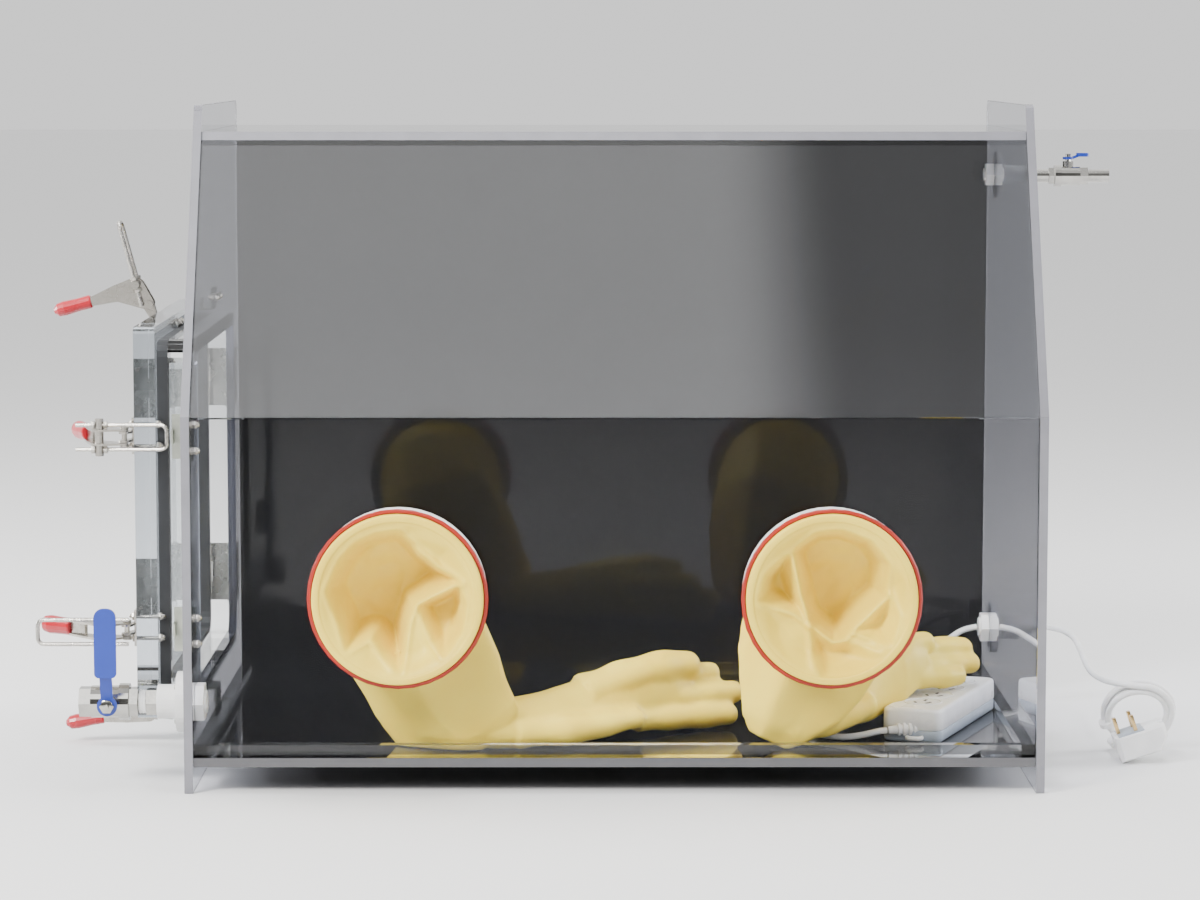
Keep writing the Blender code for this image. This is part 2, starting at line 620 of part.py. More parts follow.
# ---------------------------------------------------------------- door
def door_hinge_axis():
    return empty("door_axis", Matrix.Translation((HINGE_X, HINGE_Y, 0)), chamber)


def on_door(x=0.0):
    """From the chamber's coordinates to those of the door's axis."""
    return Matrix.Translation((x - HINGE_X, -HINGE_Y, 0))


def door_parts():
    def frame(grow):
        return (DOORWAY_FRONT - grow, DOORWAY_LOW - grow), (DOORWAY_BACK + grow, DOORWAY_HIGH + grow)

    seat = plate_object(
        [rectangle(*frame(SEAT_WIDTH), DOORWAY_ROUND), rectangle(*frame(0), DOORWAY_ROUND)],
        SEAT_SHEET, side_plane(-WIDTH / 2 - GAP - SEAT_SHEET / 2),
    )
    place(seat, "door_seat", ACRYLIC, chamber)

    gasket = plate_object(
        [rectangle(*frame(GASKET_WIDTH - GASKET_OVERLAP), DOORWAY_ROUND), rectangle(*frame(-GASKET_OVERLAP), DOORWAY_ROUND)],
        GASKET_SHEET, on_door() @ side_plane(SEAT_X - GAP - GASKET_SHEET / 2),
    )
    place(gasket, "door_gasket", RUBBER, door)

    edge = rectangle((DOOR_FRONT, DOOR_LOW), (DOOR_BACK, DOOR_HIGH), DOOR_ROUND)
    panel = plate_object([edge], DOOR_SHEET, on_door() @ side_plane(DOOR_IN_X - DOOR_SHEET / 2))
    place(panel, "door_panel", ACRYLIC, door)


def hinge(which, z):
    """A butt hinge: a leaf on the door's back edge, an angle on the side panel, three knuckles and a pin."""
    half, knuckle = HINGE_LONG / 2, HINGE_LONG / 6
    outer_x = -WIDTH / 2 - GAP
    bore = PIN_RADIUS + GAP

    leaf = box_object((outer_x - HINGE_SHEET, HINGE_Y - 0.015, z - half), (outer_x, HINGE_Y + 0.015, z + half))
    place(leaf, f"hinge_frame_leaf_{which}", NICKEL, chamber)
    y0, y1 = HINGE_Y - HINGE_SHEET / 2, HINGE_Y + HINGE_SHEET / 2
    web = HINGE_X + BARREL_RADIUS + KNUCKLE_GAP
    pieces = [box_object((web, y0, z - half), (outer_x - 0.001, y1, z + half))]
    for low, high in ((-half, -knuckle - KNUCKLE_GAP), (knuckle + KNUCKLE_GAP, half)):
        pieces.append(rod_object((HINGE_X, HINGE_Y, z + low), high - low, BARREL_RADIUS, "z", 16))
        pieces.append(box_object((HINGE_X + PIN_RADIUS, y0, z + low), (web + 0.001, y1, z + high)))
    join(leaf, *pieces)
    cut(leaf, rod_object((HINGE_X, HINGE_Y, z - HINGE_LONG), 2 * HINGE_LONG, bore, "z", 16))

    back = DOOR_BACK + GAP
    near = DOOR_IN_X - GAP
    shift = on_door()
    plate = box_object((DOOR_OUT_X + 0.001, back, z - half), (near, back + HINGE_SHEET, z + half))
    plate.matrix_local = shift
    place(plate, f"hinge_door_leaf_{which}", NICKEL, door)
    barrel = rod_object((HINGE_X, HINGE_Y, z - knuckle), 2 * knuckle, BARREL_RADIUS, "z", 16)
    tab = box_object((near - 0.001, back, z - knuckle), (HINGE_X - PIN_RADIUS, HINGE_Y, z + knuckle))
    for piece in (barrel, tab):
        piece.matrix_local = shift
    join(plate, barrel, tab)
    hole = rod_object((HINGE_X, HINGE_Y, z - HINGE_LONG), 2 * HINGE_LONG, bore, "z", 16)
    hole.matrix_local = shift
    cut(plate, hole)

    pin = rod_object((HINGE_X, HINGE_Y, z - half), HINGE_LONG + 0.002, PIN_RADIUS, "z", 14)
    place(pin, f"hinge_pin_{which}", NICKEL, chamber)
    join(pin, rod_object((HINGE_X, HINGE_Y, z + half + GAP), 0.0022, BARREL_RADIUS * 0.9, "z", 14))


# ---------------------------------------------------------------- toggle latches
def latch_frame(edge, out):
    """The latch's own frame: x past the door's edge, y out of the door's face, z along the edge."""
    x_way = Vector((0, out[0], out[1]))
    y_way = Vector((-1, 0, 0))
    turn = Matrix((x_way, y_way, x_way.cross(y_way))).transposed().to_4x4()
    return Matrix.Translation((DOOR_OUT_X, *edge)) @ turn


def cheek(outline, sheet, z, hole=None, radius=0.0):
    """A stamped plate across a latch's z, with a pivot hole."""
    shape = plate_object([outline] + ([circle(hole, radius, 16)] if hole else []), sheet)
    made = to_mesh(shape)
    made.matrix_local = Matrix.Translation((0, 0, z))
    return made


def latch_bracket(name, frame):
    """The base that is bolted to the door: a foot, two ears and the pivot pin with its heads."""
    x, y = LEVER_PIVOT
    foot = box_object((-0.018, GAP, -0.017), (-0.001, GAP + 0.002, 0.017))
    place(foot, f"latch_base_{name}", NICKEL, frame)
    ear = rounded(
        [(-0.016, GAP + 0.0005), (-0.002, GAP + 0.0005), (x + 0.0055, y - 0.003), (x + 0.003, y + 0.0055), (x - 0.005, y + 0.005)],
        [0.001, 0.001, 0.004, 0.004, 0.003], 3,
    )
    pieces = [cheek(ear, EAR_SHEET, side * (EAR_IN + EAR_SHEET / 2)) for side in (-1, 1)]
    wide = PIN_HALF - PIN_HEAD / 2
    pieces.append(rod_object((x, y, -wide), 2 * wide, PIVOT_RADIUS, "z", 12))
    pieces += [
        rod_object((x, y, side * wide - PIN_HEAD / 2), PIN_HEAD, PIVOT_RADIUS + 0.0017, "z", 12) for side in (-1, 1)
    ]
    join(foot, *pieces)
    cut(foot, *[rod_object((-0.010, -0.01, side * BASE_BOLTS / 2), 0.02, 0.0021, "y", 12) for side in (-1, 1)])


PIVOT_RADIUS = 0.0025


def latch_lever(name, pivot):
    """Two cheeks round the base's ears, closed into one shank that carries the grip."""
    tx, ty = TRUNNION_AT
    start, end = Vector(GRIP_FROM), Vector(GRIP_TO)
    way = (end - start).normalized()
    side_way = Vector((-way.y, way.x))
    shank = start + way * 0.004
    outline = rounded(
        [(0.0045, -0.0055), (tx + 0.0065, ty - 0.001), (tx + 0.003, ty + 0.0068),
         tuple(Vector((-0.020, 0.034)) - side_way * 0.004), tuple(shank - side_way * 0.0045),
         tuple(shank + side_way * 0.0045), (-0.022, 0.022), (-0.0055, -0.002)],
        [0.005, 0.006, 0.006, 0.004, 0, 0, 0.008, 0.004], 3,
    )
    inner = EAR_IN + EAR_SHEET + 2 * GAP
    holes = [circle((0, 0), PIVOT_RADIUS + GAP, 16), circle(TRUNNION_AT, TRUNNION_THICK / 2 + GAP, 16)]
    plates = []
    for side in (-1, 1):
        plate = to_mesh(plate_object([outline, *holes], CHEEK_SHEET))
        plate.matrix_local = Matrix.Translation((0, 0, side * (inner + CHEEK_SHEET / 2)))
        plates.append(plate)
    lever = plates[0]
    place(lever, f"latch_lever_{name}", NICKEL, pivot)
    web_turn = Matrix.Translation((*start, 0)) @ Matrix.Rotation(_heading(way), 4, "Z")
    web = box_object((-0.014, -0.002, -inner - 0.001), (0.0035, 0.002, inner + 0.001))
    web.matrix_local = web_turn
    tongue = box_object((0.0, -0.0015, -0.0055), (0.032, 0.0015, 0.0055))
    tongue.matrix_local = web_turn
    join(lever, plates[1], web, tongue)

    long = (end - start).length
    rings = []
    for at, tall, wide in ((0.0046, 0.0058, 0.0072), (0.006, 0.0068, 0.0080), (0.018, 0.0066, 0.0082),
                           (0.032, 0.0074, 0.0088), (long - 0.004, 0.0066, 0.0078), (long, 0.0030, 0.0042)):
        rings.append([(at, tall * cos(t), wide * sin(t)) for t in [2 * pi * i / 14 for i in range(14)]])
    grip = loft_object(rings)
    grip.matrix_local = web_turn
    place(grip, f"latch_grip_{name}", RED_VINYL, pivot)
    slot = box_object((-0.01, -0.0015 - GAP, -0.0055 - GAP), (0.032 + GAP, 0.0015 + GAP, 0.0055 + GAP))
    slot.matrix_local = web_turn
    cut(grip, slot)


def _heading(way):
    return Vector((1, 0)).angle_signed(way) * -1


def latch_bolt(name, axis, reach):
    """The trunnion across the lever and the threaded U-bolt through it, with its nuts. The bolt points along x."""
    half = BOLT_SPREAD / 2
    corner = [
        (reach - BOLT_BEND + BOLT_BEND * sin(t), half - BOLT_BEND + BOLT_BEND * cos(t))
        for t in [pi / 2 * i / 5 for i in range(6)]
    ]
    tail = -(BOLT_REACH + BOLT_TAIL - reach)
    line = [(tail, half)] + corner
    route = [(x, 0, z) for x, z in line] + [(x, 0, -z) for x, z in reversed(line)]
    bolt = to_mesh(wire_object(route, BOLT_THICK, 2))
    place(bolt, f"latch_u_bolt_{name}", NICKEL, axis)
    nuts = []
    for side in (-1, 1):
        for at in (TRUNNION_THICK / 2 + GAP, -TRUNNION_THICK / 2 - GAP - NUT_LONG):
            nuts.append(rod_object((at, 0, side * half), NUT_LONG, NUT_RADIUS, "x", 6))
    join(bolt, *nuts)

    trunnion = rod_object((0, 0, -TRUNNION_LONG / 2), TRUNNION_LONG, TRUNNION_THICK / 2, "z", 16)
    place(trunnion, f"latch_trunnion_{name}", NICKEL, axis)
    cut(trunnion, *[
        rod_object((-0.02, 0, side * half), 0.04, BOLT_THICK / 2 + GAP, "x", 12) for side in (-1, 1)
    ])


BOLT_REACH = 0.063
NUT_LONG, NUT_RADIUS = 0.0032, 0.0040


def latch_keeper(name, frame):
    """On the side panel: a flange, an upright leg and the lip that the bolt's closed end catches under."""
    low = DOOR_OUT_X + WIDTH / 2 + GAP
    flange = box_object((0.002, low, -0.021), (0.024, low + 0.002, 0.021))
    place(flange, f"latch_keeper_{name}", NICKEL, frame)
    join(
        flange,
        box_object((0.002, low, -0.021), (0.004, low + 0.0135, 0.021)),
        box_object((0.002, low + 0.0115, -0.0065), (0.014, low + 0.0135, 0.0065)),
    )
    cut(flange, *[rod_object((0.0145, low - 0.01, side * 0.0123), 0.03, 0.0021, "y", 12) for side in (-1, 1)])


def latches():
    for name, latch in LATCHES.items():
        matrix = latch_frame(latch["edge"], latch["out"])
        fixed = empty(f"latch_keeper_frame_{name}", matrix, chamber)
        latch_keeper(name, fixed)
        frame = empty(f"latch_frame_{name}", on_door() @ matrix, door)
        latch_bracket(name, frame)
        opened = Matrix.Rotation(-radians(latch["angle"]), 4, "Z")
        pivot = empty(f"latch_lever_axis_{name}", Matrix.Translation((*LEVER_PIVOT, 0)) @ opened, frame)
        latch_lever(name, pivot)
        points = Matrix.Rotation(pi / 2 - radians(latch["bolt"] - latch["angle"]), 4, "Z")
        axis = empty(f"latch_bolt_axis_{name}", Matrix.Translation((*TRUNNION_AT, 0)) @ points, pivot)
        latch_bolt(name, axis, latch["reach"])


# ---------------------------------------------------------------- power strip and its lead
STRIP_SIZE = (0.058, 0.205, 0.032)
STRIP_AT, STRIP_TURN = (INNER_X - 0.0735, 0.178), radians(-20.8)
RELIEF_FROM_STRIP, RELIEF_WAY, RELIEF_LONG = (-0.0320, -0.0920, 0.0126), (-0.95, -0.10, -0.05), 0.026


def power_strip():
    """A slim socket strip on the chamber's floor, with the ribbed relief that its lead leaves by."""
    wide, long, tall = STRIP_SIZE
    outline = rectangle((-wide / 2, -long / 2), (wide / 2, long / 2), 0.008)
    body = to_mesh(plate_object([outline], tall))
    at = (*STRIP_AT, BASE_TOP + GAP + tall / 2)
    body.matrix_local = Matrix.Translation(at) @ Matrix.Rotation(STRIP_TURN, 4, "Z")
    place(body, "power_strip", WHITE_PLASTIC, chamber)
    start = Vector((*STRIP_AT, BASE_TOP + GAP)) + Vector(RELIEF_FROM_STRIP)
    join(body, rod_object(start, RELIEF_LONG, 0.0060, RELIEF_WAY, 16, 0.0042))


LEAD_INSIDE = [
    (0.2592, 0.0829, 0.0440), (0.2520, 0.0822, 0.0435), (0.2380, 0.0835, 0.0400), (0.2200, 0.0890, 0.0366),
    (0.2020, 0.1000, 0.0362), (0.1900, 0.1170, 0.0362), (0.1860, 0.1400, 0.0362), (0.1870, 0.1650, 0.0362),
    (0.1900, 0.1950, 0.0362), (0.1980, 0.2300, 0.0362), (0.2110, 0.2650, 0.0362), (0.2290, 0.2980, 0.0364),
    (0.2520, 0.3300, 0.0375), (0.2790, 0.3590, 0.0430), (0.3080, 0.3840, 0.0545), (0.3380, 0.4060, 0.0700),
    (0.3600, 0.4240, 0.0825), (0.3700, 0.4325, 0.0884), (0.3798, 0.4340, 0.0895),
]
LEAD_OUTSIDE = [
    (0.4449, 0.4340, 0.0895), (0.4560, 0.4335, 0.0885), (0.4680, 0.4230, 0.0850), (0.4780, 0.4000, 0.0795),
    (0.4850, 0.3700, 0.0745), (0.4900, 0.3380, 0.0710), (0.4935, 0.3060, 0.0690), (0.4955, 0.2760, 0.0685),
    (0.4965, 0.2500, 0.0690),
]
COIL_AT = (0.5170, 0.2120)
PLUG_AT, PLUG_SIZE, PLUG_TURN = (0.5130, 0.1610), (0.050, 0.040, 0.025), radians(18)


def lead():
    """The lead inside, the lead outside, the coil that it is wound into and the plug on its end."""
    inside = wire_object(smooth_route(LEAD_INSIDE, 0.013), CORD_THICK, 2)
    place(inside, "lead_inside", WHITE_PLASTIC, chamber)
    outside = wire_object(smooth_route(LEAD_OUTSIDE, 0.013), CORD_THICK, 2)
    place(outside, "lead_outside", WHITE_PLASTIC, chamber)

    half = COIL_SECTION / 2
    low, high = COIL_RADIUS - half, COIL_RADIUS + half
    bevel = half / 2
    section = [
        (low, -half + bevel), (low + bevel, -half), (high - bevel, -half), (high, -half + bevel),
        (high, half - bevel), (high - bevel, half), (low + bevel, half), (low, half - bevel),
    ]
    coil = turned_object(section, 32)
    height = high * cos(COIL_LEAN) + half * sin(COIL_LEAN) + GAP
    coil.matrix_local = Matrix.Translation((*COIL_AT, height)) @ Matrix.Rotation(pi / 2 + COIL_LEAN, 4, "X")
    place(coil, "lead_coil", WHITE_PLASTIC, chamber)

    wide, deep, tall = PLUG_SIZE
    outline = rounded(
        [(-wide / 2, -tall / 2), (wide / 2 - 0.010, -tall / 2), (wide / 2, 0), (wide / 2, tall / 2), (-wide / 2, tall / 2)],
        [0.003, 0.003, 0.003, 0.002, 0.002], 2,
    )
    plug = to_mesh(plate_object([outline], deep))
    lift = wide / 2 * sin(PLUG_TURN) + tall / 2 * cos(PLUG_TURN) + GAP
    matrix = Matrix.Translation((*PLUG_AT, lift)) @ Matrix.Rotation(-PLUG_TURN, 4, "Y")
    plug.matrix_local = matrix @ Matrix.Rotation(pi / 2, 4, "X")
    place(plug, "lead_plug", WHITE_PLASTIC, chamber)
    pins = []
    for x, y in ((-0.019, 0.0), (-0.003, -0.011), (-0.003, 0.011)):
        pins.append(box_object((x - 0.002, y - 0.003, tall / 2 - 0.001), (x + 0.002, y + 0.003, tall / 2 + 0.017)))
        pins[-1].matrix_local = matrix
    join(plug, *pins)


# ---------------------------------------------------------------- assembly
def centre_on_origin(root, left_out):
    """Moves the model so that the origin is under its middle, measured without its lead."""
    bpy.context.view_layer.update()
    graph = bpy.context.evaluated_depsgraph_get()
    lows, highs = [1e9] * 3, [-1e9] * 3
    for obj in parts.objects:
        if obj.type == "EMPTY" or obj.name in left_out:
            continue
        whole = obj.evaluated_get(graph)
        mesh = whole.to_mesh()
        for vertex in mesh.vertices:
            at = whole.matrix_world @ vertex.co
            for i in range(3):
                lows[i], highs[i] = min(lows[i], at[i]), max(highs[i], at[i])
        whole.to_mesh_clear()
    root.location = (-(lows[0] + highs[0]) / 2, -(lows[1] + highs[1]) / 2, -lows[2])


chamber = empty("chamber", Matrix())
door = door_hinge_axis()
chamber_walls()
for side_name, side_x, stations in (("left", -PORT_SPREAD / 2, GLOVE_LEFT), ("right", PORT_SPREAD / 2, GLOVE_RIGHT)):
    glove_port(side_name, side_x)
    glove(side_name, side_x, stations)
inlet()
outlet()
cable_gland()
door_parts()
for hinge_name, hinge_z in HINGE_HEIGHTS.items():
    hinge(hinge_name, hinge_z)
latches()
power_strip()
lead()
centre_on_origin(chamber, {"lead_outside", "lead_coil", "lead_plug"})
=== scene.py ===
"""The looks of the laboratory glove box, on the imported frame: materials, gloves, lead, power strip and fasteners."""

from math import cos, hypot, pi, radians, sin

import bmesh
import bpy
import numpy as np
from mathutils import Matrix, Vector, noise


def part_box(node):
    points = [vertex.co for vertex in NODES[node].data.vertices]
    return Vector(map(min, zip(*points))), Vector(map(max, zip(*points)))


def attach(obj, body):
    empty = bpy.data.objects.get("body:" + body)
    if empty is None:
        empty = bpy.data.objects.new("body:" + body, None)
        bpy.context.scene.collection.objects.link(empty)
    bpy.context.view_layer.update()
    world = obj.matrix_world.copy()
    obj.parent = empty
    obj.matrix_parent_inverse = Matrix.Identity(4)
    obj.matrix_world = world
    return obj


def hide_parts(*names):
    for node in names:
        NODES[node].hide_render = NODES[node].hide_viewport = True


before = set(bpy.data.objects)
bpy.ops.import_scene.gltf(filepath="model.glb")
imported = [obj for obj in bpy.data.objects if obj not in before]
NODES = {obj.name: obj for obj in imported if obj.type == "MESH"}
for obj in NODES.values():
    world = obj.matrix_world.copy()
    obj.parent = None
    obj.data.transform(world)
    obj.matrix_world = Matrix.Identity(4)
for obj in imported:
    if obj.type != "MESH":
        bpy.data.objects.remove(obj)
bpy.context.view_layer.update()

scene = bpy.context.scene

# The chamber is drawn, as in the CAD, with x 0 in its middle, y 0 at its front edge and z 0 on the bench.
HALF_WIDTH, SIDE_SHEET = 0.400, 0.008
_low, _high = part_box("side_panel_right")
SHIFT = Vector((_high[0] - HALF_WIDTH, _low[1], 0))


def at(x, y, z):
    return Vector((x, y, z)) + SHIFT


# ---------------------------------------------------------------- camera
CAMERA_AT, CAMERA_DOWN, CAMERA_TURN = (-0.022, -3.435, 0.685), radians(6.05), radians(-0.14)

camera_data = bpy.data.cameras.new("camera")
camera_data.lens, camera_data.sensor_width = 112.5, 36.0
camera = bpy.data.objects.new("camera", camera_data)
scene.collection.objects.link(camera)
camera.location = at(*CAMERA_AT)
camera.rotation_euler = (pi / 2 - CAMERA_DOWN, 0, CAMERA_TURN)
scene.camera = camera


# ---------------------------------------------------------------- node materials
def new_material(name):
    made = bpy.data.materials.new(name)
    made.use_nodes = True
    tree = made.node_tree
    return made, tree, tree.nodes["Principled BSDF"], tree.nodes["Material Output"]


SOCKETS = {
    "colour": "Base Color", "rough": "Roughness", "metal": "Metallic", "coat": "Coat Weight",
    "coat_rough": "Coat Roughness", "specular": "Specular IOR Level", "ior": "IOR", "clear": "Transmission Weight",
    "sheen": "Sheen Weight", "inside": "Subsurface Weight",
}


def settle(shader, **values):
    """Sets the shader's own sockets, by the short names above."""
    for key, value in values.items():
        socket = shader.inputs[SOCKETS[key]]
        socket.default_value = (*value, 1) if key == "colour" else value


def grain(tree, scale, detail=3.0, rough=0.5, stretch=(1, 1, 1)):
    """A noise in the object's own coordinates, in metres."""
    where = tree.nodes.new("ShaderNodeTexCoord")
    mapping = tree.nodes.new("ShaderNodeMapping")
    mapping.inputs["Scale"].default_value = stretch
    made = tree.nodes.new("ShaderNodeTexNoise")
    made.inputs["Scale"].default_value = scale
    made.inputs["Detail"].default_value = detail
    made.inputs["Roughness"].default_value = rough
    tree.links.new(where.outputs["Object"], mapping.inputs["Vector"])
    tree.links.new(mapping.outputs["Vector"], made.inputs["Vector"])
    return made.outputs["Fac"]


def spread(tree, value, low, high, start=0.3, end=0.7):
    """A value from start to end, stretched to run from low to high."""
    made = tree.nodes.new("ShaderNodeMapRange")
    made.inputs["From Min"].default_value, made.inputs["From Max"].default_value = start, end
    made.inputs["To Min"].default_value, made.inputs["To Max"].default_value = low, high
    tree.links.new(value, made.inputs["Value"])
    return made.outputs["Result"]


def blend_colour(tree, value, first, second, start=0.35, end=0.65):
    """One colour up to start and the other from end."""
    made = tree.nodes.new("ShaderNodeValToRGB")
    for stop, position, colour in zip(made.color_ramp.elements, (start, end), (first, second)):
        stop.position, stop.color = position, (*colour, 1)
    tree.links.new(value, made.inputs["Fac"])
    return made.outputs["Color"]


def bump(tree, shader, value, strength, distance):
    """A bump on top of the ones the shader has already; its distance is in metres."""
    made = tree.nodes.new("ShaderNodeBump")
    made.inputs["Strength"].default_value, made.inputs["Distance"].default_value = strength, distance
    tree.links.new(value, made.inputs["Height"])
    previous = shader.inputs["Normal"].links
    if previous:
        tree.links.new(previous[0].from_socket, made.inputs["Normal"])
    tree.links.new(made.outputs["Normal"], shader.inputs["Normal"])


def acrylic(name, tint, ior=1.49):
    """Clear sheet. Shadow rays pass straight through it, so that what stands behind it is lit."""
    made, tree, shader, output = new_material(name)
    settle(shader, colour=tint, rough=0.012, clear=1.0, ior=ior)
    bump(tree, shader, grain(tree, 5.0, 1.0), 0.008, 0.002)
    path = tree.nodes.new("ShaderNodeLightPath")
    through = tree.nodes.new("ShaderNodeBsdfTransparent")
    through.inputs["Color"].default_value = (*[c ** 0.5 for c in tint], 1)
    mix = tree.nodes.new("ShaderNodeMixShader")
    tree.links.new(path.outputs["Is Shadow Ray"], mix.inputs["Fac"])
    tree.links.new(shader.outputs["BSDF"], mix.inputs[1])
    tree.links.new(through.outputs["BSDF"], mix.inputs[2])
    tree.links.new(mix.outputs["Shader"], output.inputs["Surface"])
    return made


def dark_acrylic(name, colour):
    made, tree, shader, _ = new_material(name)
    settle(shader, rough=0.05, specular=0.22)
    cloud = blend_colour(tree, grain(tree, 3.0, 3.0), colour, [c * 1.3 for c in colour])
    tree.links.new(cloud, shader.inputs["Base Color"])
    tree.links.new(spread(tree, grain(tree, 20.0, 3.0), 0.035, 0.06), shader.inputs["Roughness"])
    bump(tree, shader, grain(tree, 4.0, 1.0), 0.006, 0.002)
    return made


def metal(name, colour, rough=(0.18, 0.34), scratches=900.0):
    made, tree, shader, _ = new_material(name)
    settle(shader, metal=1.0)
    cloud = grain(tree, 60.0, 5.0, 0.6)
    worn = blend_colour(tree, cloud, colour, [c * 0.72 for c in colour], 0.4, 0.8)
    tree.links.new(worn, shader.inputs["Base Color"])
    tree.links.new(spread(tree, cloud, *rough), shader.inputs["Roughness"])
    bump(tree, shader, grain(tree, scratches, 3.0, 0.6, (1, 0.15, 1)), 0.12, 0.0002)
    return made


def threaded(name, colour, along_axis):
    """Metal with a fine thread, as bands across one of the object's axes."""
    made = metal(name, colour)
    tree = made.node_tree
    where = tree.nodes.new("ShaderNodeTexCoord")
    wave = tree.nodes.new("ShaderNodeTexWave")
    wave.bands_direction = along_axis
    wave.inputs["Scale"].default_value = 230.0
    tree.links.new(where.outputs["Object"], wave.inputs["Vector"])
    bump(tree, tree.nodes["Principled BSDF"], wave.outputs["Fac"], 0.5, 0.0004)
    return made


def plastic(name, colour, rough=(0.28, 0.42), fine=700.0, depth=0.10, coat=0.0, inside=0.0):
    made, tree, shader, _ = new_material(name)
    settle(shader, coat=coat, coat_rough=0.12, inside=inside)
    shader.inputs["Subsurface Radius"].default_value = (0.004, 0.003, 0.002)
    cloud = grain(tree, 40.0, 4.0)
    tree.links.new(blend_colour(tree, cloud, colour, [c * 0.90 for c in colour]), shader.inputs["Base Color"])
    tree.links.new(spread(tree, cloud, *rough), shader.inputs["Roughness"])
    bump(tree, shader, grain(tree, fine, 3.0), depth, 0.0003)
    return made


def latex():
    """Soft cream latex, dusted, with broad clouds of a deeper and a paler cream."""
    made, tree, shader, _ = new_material("cream_latex")
    settle(shader, specular=0.40, sheen=0.05, inside=0.08)
    shader.inputs["Subsurface Radius"].default_value = (0.005, 0.003, 0.001)
    broad, fine = grain(tree, 14.0, 4.0, 0.55), grain(tree, 160.0, 4.0)
    cream = blend_colour(tree, broad, (0.80, 0.57, 0.050), (0.90, 0.70, 0.085), 0.3, 0.7)
    tree.links.new(cream, shader.inputs["Base Color"])
    tree.links.new(spread(tree, fine, 0.40, 0.58), shader.inputs["Roughness"])
    bump(tree, shader, grain(tree, 38.0, 3.0, 0.5), 0.22, 0.003)
    bump(tree, shader, fine, 0.10, 0.0004)
    return made


CLEAR = acrylic("clear_acrylic", (0.93, 0.95, 0.95), 1.40)
WINDOW = acrylic("window_acrylic", (0.88, 0.89, 0.92))
PORT_SHEET = acrylic("port_sheet_acrylic", (0.93, 0.93, 0.94), 1.13)
# Painted shade: the side panels are clear sheet, tinted grey here for the dark surroundings seen through them.
SHADED_SIDE_ACRYLIC = acrylic("side_acrylic_painted_shade", (0.50, 0.51, 0.56), 1.36)
# Painted shade: the door is clear sheet too, tinted slate grey for the dark surroundings seen through it.
DOOR = acrylic("door_acrylic", (0.58, 0.63, 0.68), 1.42)
DARK = dark_acrylic("dark_acrylic", (0.004, 0.004, 0.005))
SMOKED_EDGE = plastic("smoked_edge", (0.070, 0.070, 0.078), (0.08, 0.16), 300.0, 0.05, 0.6)
# Painted light: an opaque paler grey for the sheets' bevels and edge skins, standing in for the light that clear edges
# catch.
PAINTED_EDGE_LIGHT = plastic("acrylic_edge_painted_light", (0.20, 0.20, 0.225), (0.10, 0.2), 300.0, 0.05, 0.5, 0.1)
RUBBER = plastic("black_rubber", (0.014, 0.014, 0.015), (0.5, 0.7), 300.0, 0.2)
NICKEL = metal("nickel_steel", (0.50, 0.475, 0.43))
THREAD_X = threaded("threaded_steel_x", (0.52, 0.50, 0.46), "X")
THREAD_Z = threaded("threaded_steel_z", (0.52, 0.50, 0.46), "Z")
ZINC = metal("zinc_steel", (0.46, 0.48, 0.42), (0.25, 0.42))
CHROME = metal("chrome_brass", (0.50, 0.49, 0.46), (0.10, 0.22), 400.0)
BRASS = metal("brass", (0.72, 0.50, 0.22), (0.15, 0.3))
RED = plastic("red_vinyl", (0.42, 0.003, 0.014), (0.22, 0.36), 350.0, 0.12, 0.3)
BLUE = plastic("blue_vinyl", (0.003, 0.030, 0.32), (0.25, 0.4), 350.0, 0.12, 0.3)
WHITE = plastic("white_plastic", (0.80, 0.80, 0.79), (0.26, 0.40), 800.0, 0.08, 0.0, 0.1)
WHITE_CORD = plastic("white_cord", (0.78, 0.78, 0.77), (0.34, 0.48), 500.0, 0.10, 0.0, 0.1)
TAPE = plastic("thread_tape", (0.86, 0.86, 0.85), (0.5, 0.7), 900.0, 0.6)
GREY = plastic("grey_plastic", (0.34, 0.39, 0.45), (0.3, 0.45))
# Painted shade: black for the dark inside the socket holes.
SLOT_SHADE = plastic("slot_painted_shade", (0.01, 0.01, 0.01), (0.4, 0.6))
O_RING = plastic("red_rubber", (0.36, 0.014, 0.004), (0.32, 0.46), 300.0, 0.15)
LATEX = latex()

# The first start of a node's name that fits gives its finish; the rest are white.
FINISHES = {
    "base_plate": DARK, "back_panel": DARK, "roof_plate": DARK, "side_panel": SHADED_SIDE_ACRYLIC, "front_lower_panel": PORT_SHEET,
    "front_upper_panel": WINDOW, "floor_frame": CLEAR, "door_seat": CLEAR, "door_panel": DOOR, "door_gasket": RUBBER,
    "latch_keeper": ZINC, "latch_u_bolt_top": THREAD_Z, "latch_u_bolt": THREAD_X, "latch_grip": RED,
    "inlet_valve_lever": BLUE, "outlet_valve_lever": BLUE, "inlet_valve_body": CHROME, "outlet_valve_body": CHROME,
    "inlet_nipple": CHROME, "latch": NICKEL, "hinge": NICKEL, "cuff": O_RING,
}
SHEETS = (CLEAR, WINDOW, PORT_SHEET, SHADED_SIDE_ACRYLIC, DOOR, DARK)
BEVELS = {
    "side_panel": 0.0012, "front_": 0.0008, "base": 0.0006, "back": 0.0006, "roof": 0.0006, "floor": 0.0005,
    "door_seat": 0.0008, "door_panel": 0.0012, "door_gasket": 0.0010, "hinge": 0.0004, "latch_base": 0.0003,
    "latch_keeper": 0.0003, "latch_lever": 0.0003, "inlet": 0.0006, "outlet": 0.0004, "glove_port": 0.0008,
    "cable_gland": 0.0006,
}

